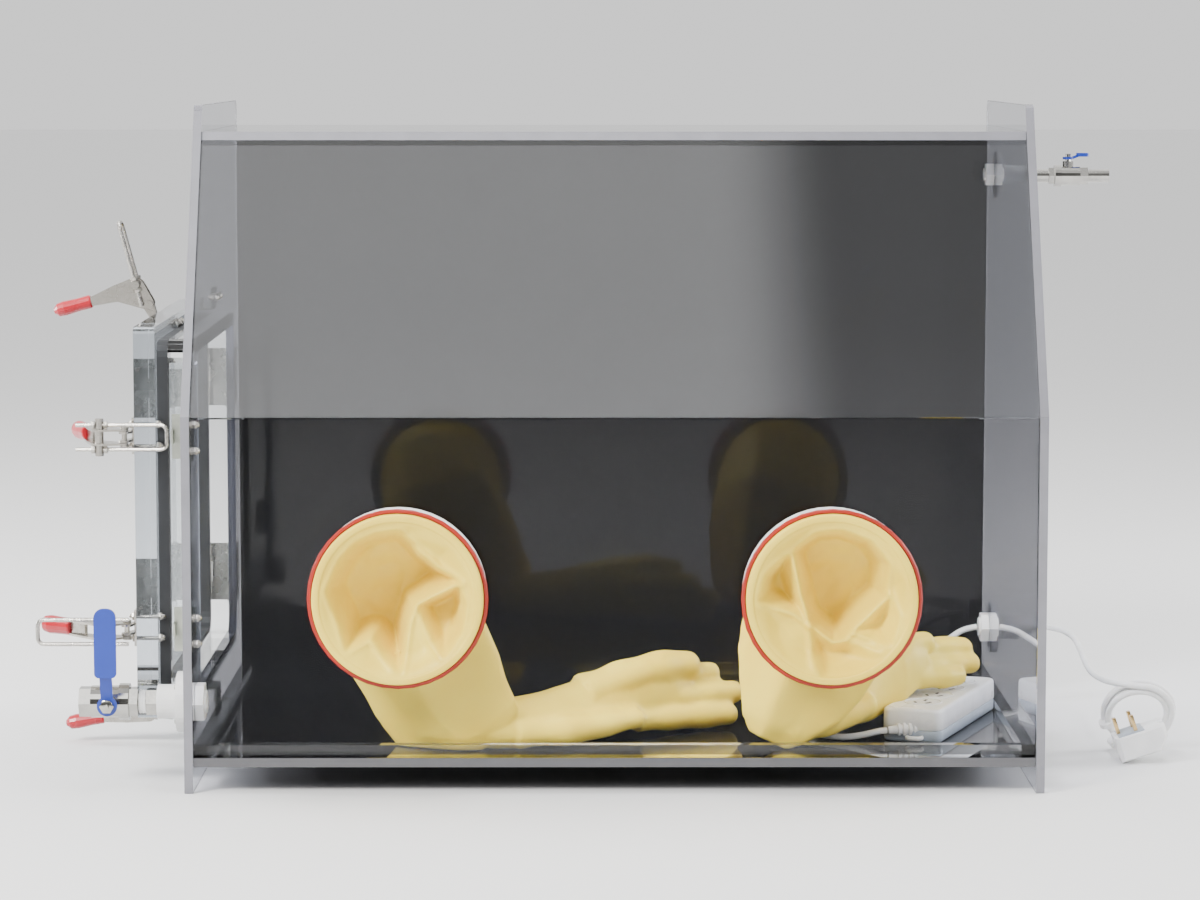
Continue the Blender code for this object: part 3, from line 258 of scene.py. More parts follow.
for node_name, node in NODES.items():
    finish = next((f for start, f in FINISHES.items() if node_name.startswith(start)), WHITE)
    if not node.material_slots:
        node.data.materials.append(finish)
    for material_slot in node.material_slots:
        material_slot.material = finish
    width = next((w for start, w in BEVELS.items() if node_name.startswith(start)), 0)
    if width:
        edge = node.modifiers.new("edges", "BEVEL")
        edge.width, edge.segments, edge.limit_method, edge.angle_limit = width, 2, "ANGLE", radians(40)
        # The sheets' bevels take the paler edge finish: painted light for the light their edges catch.
        if finish in SHEETS:
            node.data.materials.append(PAINTED_EDGE_LIGHT)
            edge.material = len(node.data.materials) - 1


# ---------------------------------------------------------------- mesh helpers
def add(name, mesh, finish, body, smooth=True, sharp=40):
    """A piece of one finish that rides a body, shaded smooth up to the sharp angle, or all over if that is 0."""
    made = bpy.data.objects.new(name, mesh)
    scene.collection.objects.link(made)
    mesh.materials.append(finish)
    if smooth:
        mesh.shade_smooth()
        if sharp:
            mesh.set_sharp_from_angle(angle=radians(sharp))
    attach(made, body)
    return made


def mesh_of(shape, name):
    bmesh.ops.recalc_face_normals(shape, faces=shape.faces)
    mesh = bpy.data.meshes.new(name)
    shape.to_mesh(mesh)
    shape.free()
    return mesh


def apply_modifiers(obj):
    graph = bpy.context.evaluated_depsgraph_get()
    mesh = bpy.data.meshes.new_from_object(obj.evaluated_get(graph))
    obj.modifiers.clear()
    obj.data = mesh


def loft(shape, rings, caps=True):
    """Joins closed rings of points, each to the next."""
    rows = [[shape.verts.new(point) for point in ring] for ring in rings]
    for first, second in zip(rows, rows[1:]):
        for i in range(len(first)):
            j = (i + 1) % len(first)
            shape.faces.new((first[i], first[j], second[j], second[i]))
    if caps:
        shape.faces.new(rows[0][::-1])
        shape.faces.new(rows[-1])
    return rows


def turn_to(axis):
    """A turn that takes z to an axis."""
    return Vector((0, 0, 1)).rotation_difference(Vector(axis).normalized()).to_matrix().to_4x4()


def lathe(shape, profile, where, sides=24):
    """A closed turned solid about the z of a matrix, from (radius, height) points; the ends are capped."""
    rings = [
        [where @ Vector((r * cos(2 * pi * i / sides), r * sin(2 * pi * i / sides), h)) for i in range(sides)]
        for r, h in profile
    ]
    loft(shape, rings)


def block(shape, low, high, where, bevel=0.0):
    size = [b - a for a, b in zip(low, high)]
    middle = [(a + b) / 2 for a, b in zip(low, high)]
    matrix = where @ Matrix.Translation(middle) @ Matrix.Diagonal((*size, 1))
    made = bmesh.ops.create_cube(shape, size=1, matrix=matrix)
    if bevel:
        edges = {e for v in made["verts"] for e in v.link_edges}
        bmesh.ops.bevel(shape, geom=list(edges), offset=bevel, segments=2, profile=0.6, affect="EDGES")


# ---------------------------------------------------------------- edges of the sheets, paler on the clear ones by painted light
EDGE_PROUD, EDGE_SKIN = 0.00025, 0.0003
INLET, OUTLET, GLAND = (0.038, 0.080), (0.430, 0.559), (0.434, 0.0895)  # y and z of the holes in the side panels


def edge_strip(node_name, wanted, finish):
    """A thin skin over some of a sheet's edge faces, in a finish of its own; the paler grey on the clear sheets is
    painted light, for the light their edges catch.
    """
    shape = bmesh.new()
    for face in NODES[node_name].data.polygons:
        if wanted(face.normal, face.center - SHIFT):
            corners = [NODES[node_name].data.vertices[i].co + face.normal * EDGE_PROUD for i in face.vertices]
            shape.faces.new([shape.verts.new(co) for co in corners])
    bmesh.ops.remove_doubles(shape, verts=shape.verts, dist=1e-5)
    bmesh.ops.dissolve_limit(shape, angle_limit=radians(1), verts=shape.verts, edges=shape.edges)
    name = f"{node_name}_edge"
    piece = add(name, mesh_of(shape, name), finish, "chamber", smooth=False)
    skin = piece.modifiers.new("skin", "SOLIDIFY")
    skin.thickness, skin.offset = EDGE_SKIN, 1
    apply_modifiers(piece)


def outer_edge(normal, centre):
    """The rim of a side panel's outline, without its faces and its holes."""
    if abs(normal.x) > 0.3 or any(hypot(centre.y - y, centre.z - z) < 0.015 for y, z in (INLET, OUTLET, GLAND)):
        return False
    return normal.y * (centre.y - 0.26) + normal.z * (centre.z - 0.25) > 0.05


# Painted light on the side panels' rims and the roof's front edge; the base plate's edge is its own dark finish.
for side_name in ("left", "right"):
    edge_strip(f"side_panel_{side_name}", outer_edge, PAINTED_EDGE_LIGHT)
edge_strip("roof_plate", lambda normal, centre: normal.y < -0.5, PAINTED_EDGE_LIGHT)
edge_strip("base_plate", lambda normal, centre: normal.y < -0.9, SMOKED_EDGE)


# ---------------------------------------------------------------- lead and plug
def smooth_route(route, step):
    """A curve through the points of a route, as points about a step apart."""
    line = [2 * Vector(route[0]) - Vector(route[1])] + [Vector(p) for p in route]
    line.append(2 * line[-1] - line[-2])
    fine = []
    for a, b, c, d in zip(line, line[1:], line[2:], line[3:]):
        for i in range(24):
            t = i / 24
            fine.append(0.5 * (2 * b + (c - a) * t + (2 * a - 5 * b + 4 * c - d) * t**2
                               + (3 * b - a - 3 * c + d) * t**3))
    fine.append(Vector(route[-1]))
    lengths = np.cumsum([0] + [(b - a).length for a, b in zip(fine, fine[1:])])
    count = max(2, round(lengths[-1] / step))
    wanted = np.linspace(0, lengths[-1], count + 1)
    table = np.array([tuple(p) for p in fine])
    return [Vector([np.interp(w, lengths, table[:, k]) for k in range(3)]) for w in wanted]


def cord_curve(name, points, thick, finish, body):
    curve = bpy.data.curves.new(name, "CURVE")
    curve.dimensions, curve.bevel_depth, curve.bevel_resolution = "3D", thick / 2, 4
    curve.use_fill_caps = True
    spline = curve.splines.new("POLY")
    spline.points.add(len(points) - 1)
    for point, co in zip(spline.points, points):
        point.co = (*co, 1)
    spline.use_smooth = True
    made = bpy.data.objects.new(name, curve)
    scene.collection.objects.link(made)
    curve.materials.append(finish)
    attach(made, body)
    return made


CORD = 0.0062  # the lead's thickness
LEAD_INSIDE = [
    (0.2592, 0.0829, 0.0440), (0.2520, 0.0822, 0.0435), (0.2380, 0.0835, 0.0400), (0.2200, 0.0890, 0.0366),
    (0.2020, 0.1000, 0.0362), (0.1900, 0.1170, 0.0362), (0.1860, 0.1400, 0.0362), (0.1870, 0.1650, 0.0362),
    (0.1900, 0.1950, 0.0362), (0.1980, 0.2300, 0.0362), (0.2110, 0.2650, 0.0362), (0.2290, 0.2980, 0.0364),
    (0.2520, 0.3300, 0.0375), (0.2790, 0.3590, 0.0430), (0.3080, 0.3850, 0.0545), (0.3330, 0.4055, 0.0685),
    (0.3500, 0.4197, 0.0790), (0.3650, 0.4302, 0.0865), (0.3798, 0.4340, 0.0895),
]
LEAD_OUTSIDE = [
    (0.4449, 0.4340, 0.0895), (0.4550, 0.4328, 0.0891), (0.4660, 0.4270, 0.0875), (0.4742, 0.4160, 0.0848),
    (0.4790, 0.4000, 0.0810), (0.4800, 0.3700, 0.0760), (0.4795, 0.3380, 0.0722), (0.4780, 0.3000, 0.0702),
    (0.4780, 0.2660, 0.0694), (0.4800, 0.2430, 0.0692), (0.4830, 0.2270, 0.0691), (0.4880, 0.2126, 0.0690),
    (0.4966, 0.2018, 0.0689),
]
COIL_AT, COIL_RADIUS, COIL_LEAN, COIL_HEIGHT = (0.5170, 0.2120), 0.0315, radians(25), 0.0374
PLUG_AT, PLUG_SIZE, PLUG_TURN = (0.5130, 0.1610), (0.050, 0.040, 0.025), radians(18)

inside_route = [at(*p) for p in smooth_route(LEAD_INSIDE, 0.006)]
inside_cord = cord_curve("mains_lead_inside", inside_route, CORD, WHITE_CORD, "chamber")
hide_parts("lead_inside")

coil_turn = Matrix.Translation((*COIL_AT, COIL_HEIGHT)) @ Matrix.Rotation(pi / 2 + COIL_LEAN, 4, "X")
# Four lanes about the coil's middle line, one a turn: how far out and how far to the side of it each one lies.
LANE = CORD / 2 + 0.0002
LANES = [(LANE, LANE), (-LANE, LANE), (-LANE, -LANE), (LANE, -LANE)]
COIL_START, COIL_END = radians(96), radians(-90 - 3 * 360)


def coil_point(angle):
    """A point on the coil; each turn slips evenly from its own lane into the next one."""
    gone = min((COIL_START - angle) / (2 * pi), len(LANES) - 1)
    turn = min(int(gone), len(LANES) - 2)
    slip = gone - turn
    out, side = (a * (1 - slip) + b * slip for a, b in zip(LANES[turn], LANES[turn + 1]))
    radius = COIL_RADIUS + out
    return coil_turn @ Vector((radius * cos(angle), radius * sin(angle), side))


# From the coil's end the lead turns through a quarter circle on the bench and goes straight into the plug.
COIL_POINTS, TAIL_POINTS, BEND, TAIL_HEIGHT = 57, 5, 0.028, 0.0110
coil_points = [coil_point(a) for a in np.linspace(COIL_START, COIL_END, COIL_POINTS)]
coil_end = coil_points[-1]
tail = []
for step in range(1, TAIL_POINTS + 1):
    share = step / TAIL_POINTS
    rise = (TAIL_HEIGHT - coil_end.z) * (1 - cos(pi * share)) / 2
    tail.append(coil_end + Vector((-BEND * sin(pi / 2 * share), -BEND * (1 - cos(pi / 2 * share)), rise)))
plug_back = PLUG_AT[1] + PLUG_SIZE[1] / 2
tail += [Vector((tail[-1].x, plug_back + 0.004, 0.0118)), Vector((tail[-1].x, plug_back - 0.006, 0.0120))]
outside_points = [Vector(p) for p in LEAD_OUTSIDE] + coil_points + tail
outside_route = [at(*p) for p in smooth_route(outside_points, 0.004)]
outside_cord = cord_curve("mains_lead_outside", outside_route, CORD, WHITE_CORD, "chamber")
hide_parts("lead_outside", "lead_coil")


def plug_piece():
    """An angled three-pin plug with a grip, a parting line and brass pins."""
    wide, deep, tall = PLUG_SIZE
    lift = wide / 2 * sin(PLUG_TURN) + tall / 2 * cos(PLUG_TURN) + 0.0003
    where = Matrix.Translation(at(*PLUG_AT, lift)) @ Matrix.Rotation(-PLUG_TURN, 4, "Y")
    shape = bmesh.new()
    outline = [(-wide / 2, -tall / 2), (wide / 2 - 0.010, -tall / 2), (wide / 2, 0), (wide / 2, tall / 2),
               (-wide / 2, tall / 2)]
    levels = [(-deep / 2, 0.86), (-deep / 2 + 0.004, 1.0), (-0.0006, 1.0), (-0.0004, 0.975), (0.0004, 0.975),
              (0.0006, 1.0), (deep / 2 - 0.004, 1.0), (deep / 2, 0.86)]
    rings = [[where @ Vector((x * k, y, z * k)) for x, z in outline] for y, k in levels]
    loft(shape, rings)
    bmesh.ops.recalc_face_normals(shape, faces=shape.faces)
    corners = [e for e in shape.edges if len(e.link_faces) == 2 and e.calc_face_angle(0) > radians(25)]
    bmesh.ops.bevel(shape, geom=corners, offset=0.0016, segments=2, affect="EDGES", clamp_overlap=True)
    body = add("mains_plug", mesh_of(shape, "mains_plug"), WHITE, "chamber")
    shape = bmesh.new()
    for x, y in ((-0.019, 0.0), (-0.003, -0.011), (-0.003, 0.011)):
        root, tip = (x - 0.0018, y - 0.003, tall / 2 - 0.002), (x + 0.0018, y + 0.003, tall / 2 + 0.0165)
        block(shape, root, tip, where, 0.0006)
    pins = add("mains_plug_pins", mesh_of(shape, "mains_plug_pins"), BRASS, "chamber")
    shape = bmesh.new()
    block(shape, (-0.021, -0.017, tall / 2 - 0.0012), (0.005, 0.017, tall / 2 + 0.0008), where, 0.0007)
    face = add("mains_plug_face", mesh_of(shape, "mains_plug_face"), GREY, "chamber")
    return body, pins, face


def coil_tie():
    """A twist of plastic strip round the coil's turns."""
    shape = bmesh.new()
    angle = radians(200)
    centre = coil_turn @ Vector((COIL_RADIUS * cos(angle), COIL_RADIUS * sin(angle), 0))
    along = (coil_turn.to_3x3() @ Vector((-sin(angle), cos(angle), 0))).normalized()
    where = Matrix.Translation(at(*centre)) @ turn_to(along)
    profile = [(0.0066, -0.003), (0.0080, -0.0026), (0.0080, 0.0026), (0.0066, 0.003)]
    lathe(shape, profile, where, 20)
    return add("coil_tie", mesh_of(shape, "coil_tie"), WHITE, "chamber")


plug, plug_pins, plug_face = plug_piece()
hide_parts("lead_plug")
tie = coil_tie()


# ---------------------------------------------------------------- power strip
STRIP_AT, STRIP_TURN, STRIP_SIZE = (0.3185, 0.178), radians(-20.8), (0.058, 0.205, 0.032)
RELIEF_AT, RELIEF_WAY, RELIEF_LONG = (0.2865, 0.086, 0.0455), Vector((-0.95, -0.10, -0.05)), 0.026
SOCKET_PITCH = 0.042
FLOOR_TOP = 0.0329


def rounded_ring(wide, long, radius, z, where, steps=6):
    """A rectangle with round corners, at a height."""
    ring = []
    for k, (sx, sy) in enumerate(((1, 1), (-1, 1), (-1, -1), (1, -1))):
        for i in range(steps + 1):
            angle = pi / 2 * (k + i / steps)
            x, y = sx * (wide / 2 - radius) + radius * cos(angle), sy * (long / 2 - radius) + radius * sin(angle)
            ring.append(where @ Vector((x, y, z)))
    return ring


def power_strip():
    """A two-part case with four sockets, a strain relief for the lead and a hanging loop."""
    wide, long, tall = STRIP_SIZE
    where = Matrix.Translation(at(*STRIP_AT, FLOOR_TOP)) @ Matrix.Rotation(STRIP_TURN, 4, "Z")
    seam = tall * 0.36

    def shell(name, levels, finish):
        shape = bmesh.new()
        loft(shape, [rounded_ring(wide - 2 * inset, long - 2 * inset, 0.008 - inset * 0.6, z, where)
                     for z, inset in levels])
        return add(name, mesh_of(shape, name), finish, "chamber", sharp=50)

    shell("power_strip_base", [(0.0, 0.0022), (0.0008, 0.0012), (0.0025, 0.0004), (seam - 0.0012, 0.0),
                               (seam - 0.0004, 0.0006), (seam, 0.0010)], GREY)
    upper = shell("power_strip_shell", [(seam, 0.0010), (seam + 0.0005, 0.0004), (seam + 0.0012, 0.0),
                                        (tall - 0.0036, 0.0002), (tall - 0.0018, 0.0007), (tall - 0.0006, 0.0019),
                                        (tall - 0.0001, 0.0036), (tall, 0.0050)], WHITE)
    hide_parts("power_strip")

    frames, slots = bmesh.new(), bmesh.new()
    for k in range(1, 5):
        centre = where @ Matrix.Translation((0, -long / 2 + SOCKET_PITCH * k, tall))
        lathe(frames, [(0.0185, -0.002), (0.0185, 0.0002), (0.0180, 0.0007), (0.0172, 0.0007), (0.0168, 0.0001),
                       (0.0168, -0.001)], centre, 40)
        # The slots are black blocks, not holes: painted shade for the dark inside the socket holes.
        for x, y, turn in ((0.0, 0.0085, 0), (-0.0065, -0.0045, 28), (0.0065, -0.0045, -28)):
            block(slots, (-0.0011, -0.0034, -0.001), (0.0011, 0.0034, 0.00035),
                  centre @ Matrix.Translation((x, y, 0)) @ Matrix.Rotation(radians(turn), 4, "Z"))
    add("power_strip_sockets", mesh_of(frames, "power_strip_sockets"), WHITE, "chamber")
    add("power_strip_slots", mesh_of(slots, "power_strip_slots"), SLOT_SHADE, "chamber")

    shape = bmesh.new()
    relief = Matrix.Translation(at(*RELIEF_AT)) @ turn_to(RELIEF_WAY)
    profile = [(0.0062, -0.004), (0.0062, 0.0015)]
    for rib in range(3):
        start = 0.002 + 0.0052 * rib
        profile += [(0.0046, start), (0.0046, start + 0.0014), (0.0066 - 0.0004 * rib, start + 0.0020),
                    (0.0066 - 0.0004 * rib, start + 0.0044), (0.0046, start + 0.0050)]
    profile += [(0.0043, 0.0185), (0.0036, RELIEF_LONG)]
    lathe(shape, profile, relief, 24)
    add("power_strip_relief", mesh_of(shape, "power_strip_relief"), WHITE_CORD, "chamber")

    # The hanging loop on the near end.
    shape = bmesh.new()
    bends = ((-0.003, 0.004), (-0.003, -0.004), (-0.0005, -0.0068), (0.0085, -0.0068), (0.011, -0.004), (0.011, 0.004))
    loop = [where @ Vector((x, y - long / 2, 0.0048)) for x, y in bends]
    rings = []
    for i, centre in enumerate(loop):
        ahead = (loop[min(i + 1, len(loop) - 1)] - loop[max(i - 1, 0)]).normalized()
        side = ahead.cross(Vector((0, 0, 1)))
        rings.append([centre + side * 0.0016 * cos(t) + Vector((0, 0, 0.0022 * sin(t)))
                      for t in np.linspace(0, 2 * pi, 12, endpoint=False)])
    loft(shape, rings)
    add("power_strip_loop", mesh_of(shape, "power_strip_loop"), WHITE, "chamber")


power_strip()


# ---------------------------------------------------------------- gloves
PORT_Z, PORT_X = 0.1845, 0.200
MOUTH_RADIUS, CUFF_RADIUS, RIM_Y = 0.0722, 0.0790, -0.0231


def inside_distance(points, outline):
    """How far each point is inside a closed outline, and minus how far outside it."""
    outline = np.array(outline, float)
    best = np.full(len(points), 1e9)
    inside = np.zeros(len(points), bool)
    for a, b in zip(outline, np.roll(outline, -1, axis=0)):
        edge, offset = b - a, points - a
        t = np.clip((offset @ edge) / (edge @ edge), 0, 1)
        best = np.minimum(best, np.hypot(*(offset - t[:, None] * edge).T))
        crosses = (a[1] > points[:, 1]) != (b[1] > points[:, 1])
        with np.errstate(divide="ignore", invalid="ignore"):
            x = (b[0] - a[0]) * (points[:, 1] - a[1]) / (b[1] - a[1]) + a[0]
        inside ^= crosses & (points[:, 0] < x)
    return np.where(inside, best, -best)


def step_up(value, start, end):
    """From 0 at the start to 1 at the end, with soft ends."""
    t = np.clip((value - start) / (end - start), 0, 1)
    return t * t * (3 - 2 * t)


# Hollows where the sleeve has fallen in: outline, depth in metres, softness of the edge, and slope of the hollow's
# floor along x and z. Outlines and softness are in units of the mouth's radius.
MOUTH_LEFT = [
    ([(-0.81, 0.10), (-0.64, 0.46), (-0.48, 0.64), (-0.25, 0.74), (0.02, 0.78), (0.16, 0.64), (0.27, 0.50),
      (0.46, 0.34), (0.72, 0.19), (0.36, 0.02), (0.18, -0.10), (0.12, -0.30), (0.04, -0.86), (-0.16, -0.66),
      (-0.31, -0.46), (-0.45, -0.52), (-0.58, -0.60), (-0.66, -0.28)], 0.052, 0.13, (0.010, -0.016)),
    ([(0.70, 0.16), (0.77, -0.06), (0.72, -0.38), (0.53, -0.68), (0.40, -0.52), (0.28, -0.26), (0.22, -0.08)],
     0.034, 0.10, (-0.006, 0.012)),
]
MOUTH_RIGHT = [
    ([(-0.44, 0.53), (-0.18, 0.75), (0.10, 0.78), (0.43, 0.66), (0.63, 0.40), (0.62, 0.0), (0.14, -0.47),
      (0.02, -0.49), (-0.24, -0.29), (-0.33, 0.02)], 0.052, 0.12, (0.004, -0.018)),
    ([(-0.50, 0.50), (-0.76, 0.28), (-0.84, -0.02), (-0.40, -0.17), (-0.26, -0.30), (-0.37, 0.06), (-0.46, 0.48)],
     0.034, 0.12, (0.012, 0.010)),
    ([(-0.23, -0.34), (0.02, -0.53), (0.16, -0.51), (0.64, -0.66), (0.42, -0.84), (-0.02, -0.97), (-0.14, -0.92),
      (-0.20, -0.66)], 0.022, 0.11, (-0.004, 0.012)),
    ([(0.66, 0.02), (0.74, -0.20), (0.68, -0.55), (0.36, -0.42), (0.24, -0.38)], 0.012, 0.10, (0.0, 0.0)),
]
FINE_WRINKLE = 0.0009
OUTLINE_SCALE = 1.13  # the outlines were read against the O-ring, which is that much wider than the mouth
MAP_SIZE = 260


def mouth_map(hollows, seed):
    """How deep the crumpled sleeve lies behind the rim, over the square round the mouth, softened a little."""
    line = np.linspace(-1, 1, MAP_SIZE)
    grid = np.stack(np.meshgrid(line, line, indexing="ij"), -1).reshape(-1, 2)
    r = np.hypot(grid[:, 0], grid[:, 1])
    depth = 0.015 * step_up(1 - r, -0.03, 0.30) + 0.006 * step_up(1 - r, 0.15, 1.0)
    for outline, deep, soft, slope in hollows:
        inner = inside_distance(grid, [(x * OUTLINE_SCALE, z * OUTLINE_SCALE) for x, z in outline])
        floor = deep + grid[:, 0] * slope[0] + grid[:, 1] * slope[1]
        depth += floor * step_up(inner, -0.006, soft * 1.6)
        depth -= 0.0030 * np.exp(-((inner + 0.03) / 0.035) ** 2) * step_up(1 - r, 0.0, 0.12)
    broad = np.array([noise.noise(Vector((x * 2.3 + seed, z * 2.3, seed))) * 3.6
                      + (1 - abs(noise.noise(Vector((x * 3.1, z * 3.1, seed + 4)))) * 3) * 1.6 for x, z in grid])
    depth += broad * FINE_WRINKLE * step_up(1 - r, 0.02, 0.2)
    depth = depth.reshape(MAP_SIZE, MAP_SIZE)
    reach = 5
    kernel = np.exp(-0.5 * (np.arange(-reach, reach + 1) / 2.0) ** 2)
    kernel /= kernel.sum()
    for axis in (0, 1):
        depth = np.apply_along_axis(lambda row: np.convolve(np.pad(row, reach, "edge"), kernel, "valid"), axis, depth)
    return depth


def mouth_depth(points, hollows, seed):
    """The map read between its own points."""
    depth = mouth_map(hollows, seed)
    places = (np.clip(points, -1, 1) + 1) / 2 * (MAP_SIZE - 1)
    low = np.minimum(places.astype(int), MAP_SIZE - 2)
    u, v = (places - low).T
    i, k = low.T
    return (depth[i, k] * (1 - u) * (1 - v) + depth[i + 1, k] * u * (1 - v)
            + depth[i, k + 1] * (1 - u) * v + depth[i + 1, k + 1] * u * v)


def glove_mouth(side, x, hollows, seed):
    """The cuff over the port's rim and the crumpled sleeve inside it, as one sheet."""
    around, across = 240, 90
    turns = np.linspace(0, 2 * pi, around, endpoint=False)
    radii = np.linspace(1.0, 0.012, across)
    plane = np.array([(r * cos(t), r * sin(t)) for r in radii for t in turns])
    depth = mouth_depth(plane, hollows, seed).reshape(across, around)
    roll = [(CUFF_RADIUS + 0.0004, RIM_Y + 0.0155), (CUFF_RADIUS + 0.0008, RIM_Y + 0.012),
            (CUFF_RADIUS + 0.0003, RIM_Y + 0.006), (CUFF_RADIUS + 0.0002, RIM_Y + 0.0012)]
    middle, half, face = (CUFF_RADIUS + MOUTH_RADIUS) / 2, (CUFF_RADIUS - MOUTH_RADIUS) / 2, RIM_Y - 0.0008
    roll += [(middle + half * cos(t), face - 0.0012 * sin(t)) for t in np.linspace(0, pi, 9)[:-1]]
    rows = [[at(x + radius * cos(t), y, PORT_Z + radius * sin(t)) for t in turns] for radius, y in roll]
    for radius, depths in zip(MOUTH_RADIUS * radii, depth):
        rows.append([at(x + radius * cos(t), face + deep, PORT_Z + radius * sin(t)) for t, deep in zip(turns, depths)])
    shape = bmesh.new()
    made = loft(shape, rows, caps=False)
    shape.faces.new(made[-1])
    piece = add(f"glove_{side}_mouth", mesh_of(shape, f"glove_{side}_mouth"), LATEX, "chamber", sharp=0)
    skin = piece.modifiers.new("sheet", "SOLIDIFY")
    skin.thickness, skin.offset = 0.0009, -1
    calm = piece.modifiers.new("calm", "SMOOTH")
    calm.factor, calm.iterations = 0.5, 2
    apply_modifiers(piece)
    piece.data.shade_smooth()
    return piece


def tube_rings(stations, sides, facets=0.0, lobes=5, phase=0.0):
    """Ovals across a path of (x, y, z, half width, half height), whose frame turns with the path.

    facets draws the sides in along creases, as in a folded sleeve.
    """
    centres = [Vector(s[:3]) for s in stations]
    rings, across, previous = [], None, None
    for i, centre in enumerate(centres):
        ahead = (centres[min(i + 1, len(centres) - 1)] - centres[max(i - 1, 0)]).normalized()
        if across is None:
            across = Vector((1, 0, 0)) if abs(ahead.x) < 0.6 else Vector((0, -1, 0))
        else:
            across = previous.rotation_difference(ahead) @ across
        across = (across - ahead * across.dot(ahead)).normalized()
        up = across.cross(ahead)
        if i == 0 and up.z < 0:
            across, up = -across, -up
        previous = ahead
        wide, tall = stations[i][3:5]
        share = i / (len(centres) - 1)
        ring = []
        for t in np.linspace(0, 2 * pi, sides, endpoint=False):
            crease = 1 - facets * min(1, share * 3) * abs(sin(lobes / 2 * t + phase + share * 0.8))
            ring.append(at(*(centre + across * wide * crease * cos(t) + up * tall * crease * sin(t))))
        rings.append(ring)
    return rings


def finger_rings(route, start, end):
    """A round finger along a route, from its start radius to its end radius, with knuckles and a domed tip."""
    step = 0.005
    points = smooth_route(route, step)
    last = len(points) - 1
    stations = []
    for i, p in enumerate(points):
        share = i / last
        dome = (1 - max(0.0, 1 - (last - i) * step / (end * 0.9)) ** 2) ** 0.5
        knuckle = 1 + 0.05 * cos(share * 3 * 2 * pi)
        radius = (start + (end - start) * share) * max(0.12, dome) * knuckle
        stations.append((*p, radius * 1.05, radius * 0.92))
    return tube_rings(stations, 20)


GLOVES = {
    "left": dict(
        side=-1, hollows=MOUTH_LEFT, seed=3.0, phase=0.4,
        sleeve=[(-0.200, 0.010, 0.1845, 0.0722, 0.0722), (-0.199, 0.034, 0.1835, 0.0725, 0.0715),
                (-0.195, 0.058, 0.166, 0.0745, 0.0670), (-0.180, 0.064, 0.130, 0.0785, 0.0540),
                (-0.163, 0.060, 0.094, 0.0775, 0.0430), (-0.147, 0.056, 0.066, 0.0710, 0.0320),
                (-0.130, 0.052, 0.046, 0.0640, 0.0190), (-0.120, 0.052, 0.037, 0.0560, 0.0100)],
        hand=[(-0.122, 0.058, 0.050, 0.022, 0.018), (-0.096, 0.064, 0.054, 0.028, 0.025),
              (-0.066, 0.074, 0.057, 0.028, 0.027), (-0.035, 0.092, 0.061, 0.025, 0.030),
              (0.000, 0.112, 0.066, 0.022, 0.033), (0.030, 0.130, 0.069, 0.019, 0.034),
              (0.055, 0.145, 0.069, 0.015, 0.031), (0.072, 0.156, 0.069, 0.010, 0.022)],
        fingers=[
            ([(-0.030, 0.096, 0.077), (0.015, 0.122, 0.090), (0.052, 0.146, 0.0955), (0.082, 0.164, 0.0935)],
             0.0200, 0.0150),
            ([(0.020, 0.140, 0.078), (0.060, 0.162, 0.083), (0.103, 0.184, 0.0835)], 0.0150, 0.0122),
            ([(0.030, 0.132, 0.062), (0.075, 0.156, 0.065), (0.126, 0.180, 0.066)], 0.0155, 0.0120),
            ([(0.020, 0.112, 0.049), (0.070, 0.140, 0.0475), (0.120, 0.164, 0.0465)], 0.0150, 0.0115),
            ([(-0.092, 0.052, 0.050), (-0.045, 0.060, 0.051), (-0.004, 0.080, 0.052), (0.030, 0.104, 0.053)],
             0.0180, 0.0130),
        ],
    ),
    "right": dict(
        side=1, hollows=MOUTH_RIGHT, seed=8.0, phase=1.3,
        sleeve=[(0.200, 0.010, 0.1845, 0.0722, 0.0722), (0.1995, 0.034, 0.1835, 0.0725, 0.0715),
                (0.197, 0.058, 0.166, 0.0745, 0.0670), (0.189, 0.064, 0.130, 0.0755, 0.0540),
                (0.178, 0.060, 0.100, 0.0700, 0.0430), (0.167, 0.056, 0.076, 0.0580, 0.0320),
                (0.154, 0.052, 0.052, 0.0400, 0.0190), (0.146, 0.052, 0.038, 0.0250, 0.0100)],
        hand=[(0.150, 0.058, 0.050, 0.020, 0.016), (0.174, 0.068, 0.058, 0.027, 0.025),
              (0.205, 0.090, 0.069, 0.027, 0.029), (0.235, 0.114, 0.074, 0.024, 0.031),
              (0.262, 0.138, 0.084, 0.021, 0.030), (0.285, 0.158, 0.094, 0.017, 0.026),
              (0.300, 0.172, 0.097, 0.012, 0.020)],
        fingers=[
            ([(0.228, 0.122, 0.088), (0.260, 0.148, 0.104), (0.288, 0.170, 0.1115), (0.311, 0.186, 0.1125)],
             0.0170, 0.0128),
            ([(0.268, 0.160, 0.098), (0.300, 0.185, 0.104), (0.330, 0.205, 0.104), (0.351, 0.218, 0.101)],
             0.0140, 0.0112),
            ([(0.280, 0.160, 0.090), (0.310, 0.182, 0.091), (0.338, 0.200, 0.089), (0.358, 0.212, 0.088)],
             0.0130, 0.0105),
            ([(0.275, 0.148, 0.082), (0.302, 0.165, 0.081), (0.326, 0.180, 0.0795), (0.343, 0.192, 0.079)],
             0.0120, 0.0100),
            ([(0.166, 0.056, 0.052), (0.196, 0.066, 0.056), (0.226, 0.082, 0.063), (0.248, 0.097, 0.071)],
             0.0180, 0.0125),
        ],
    ),
}
VOXEL, CAP_BACK, CAP_RADIUS = 0.0028, 0.0165, 0.0760


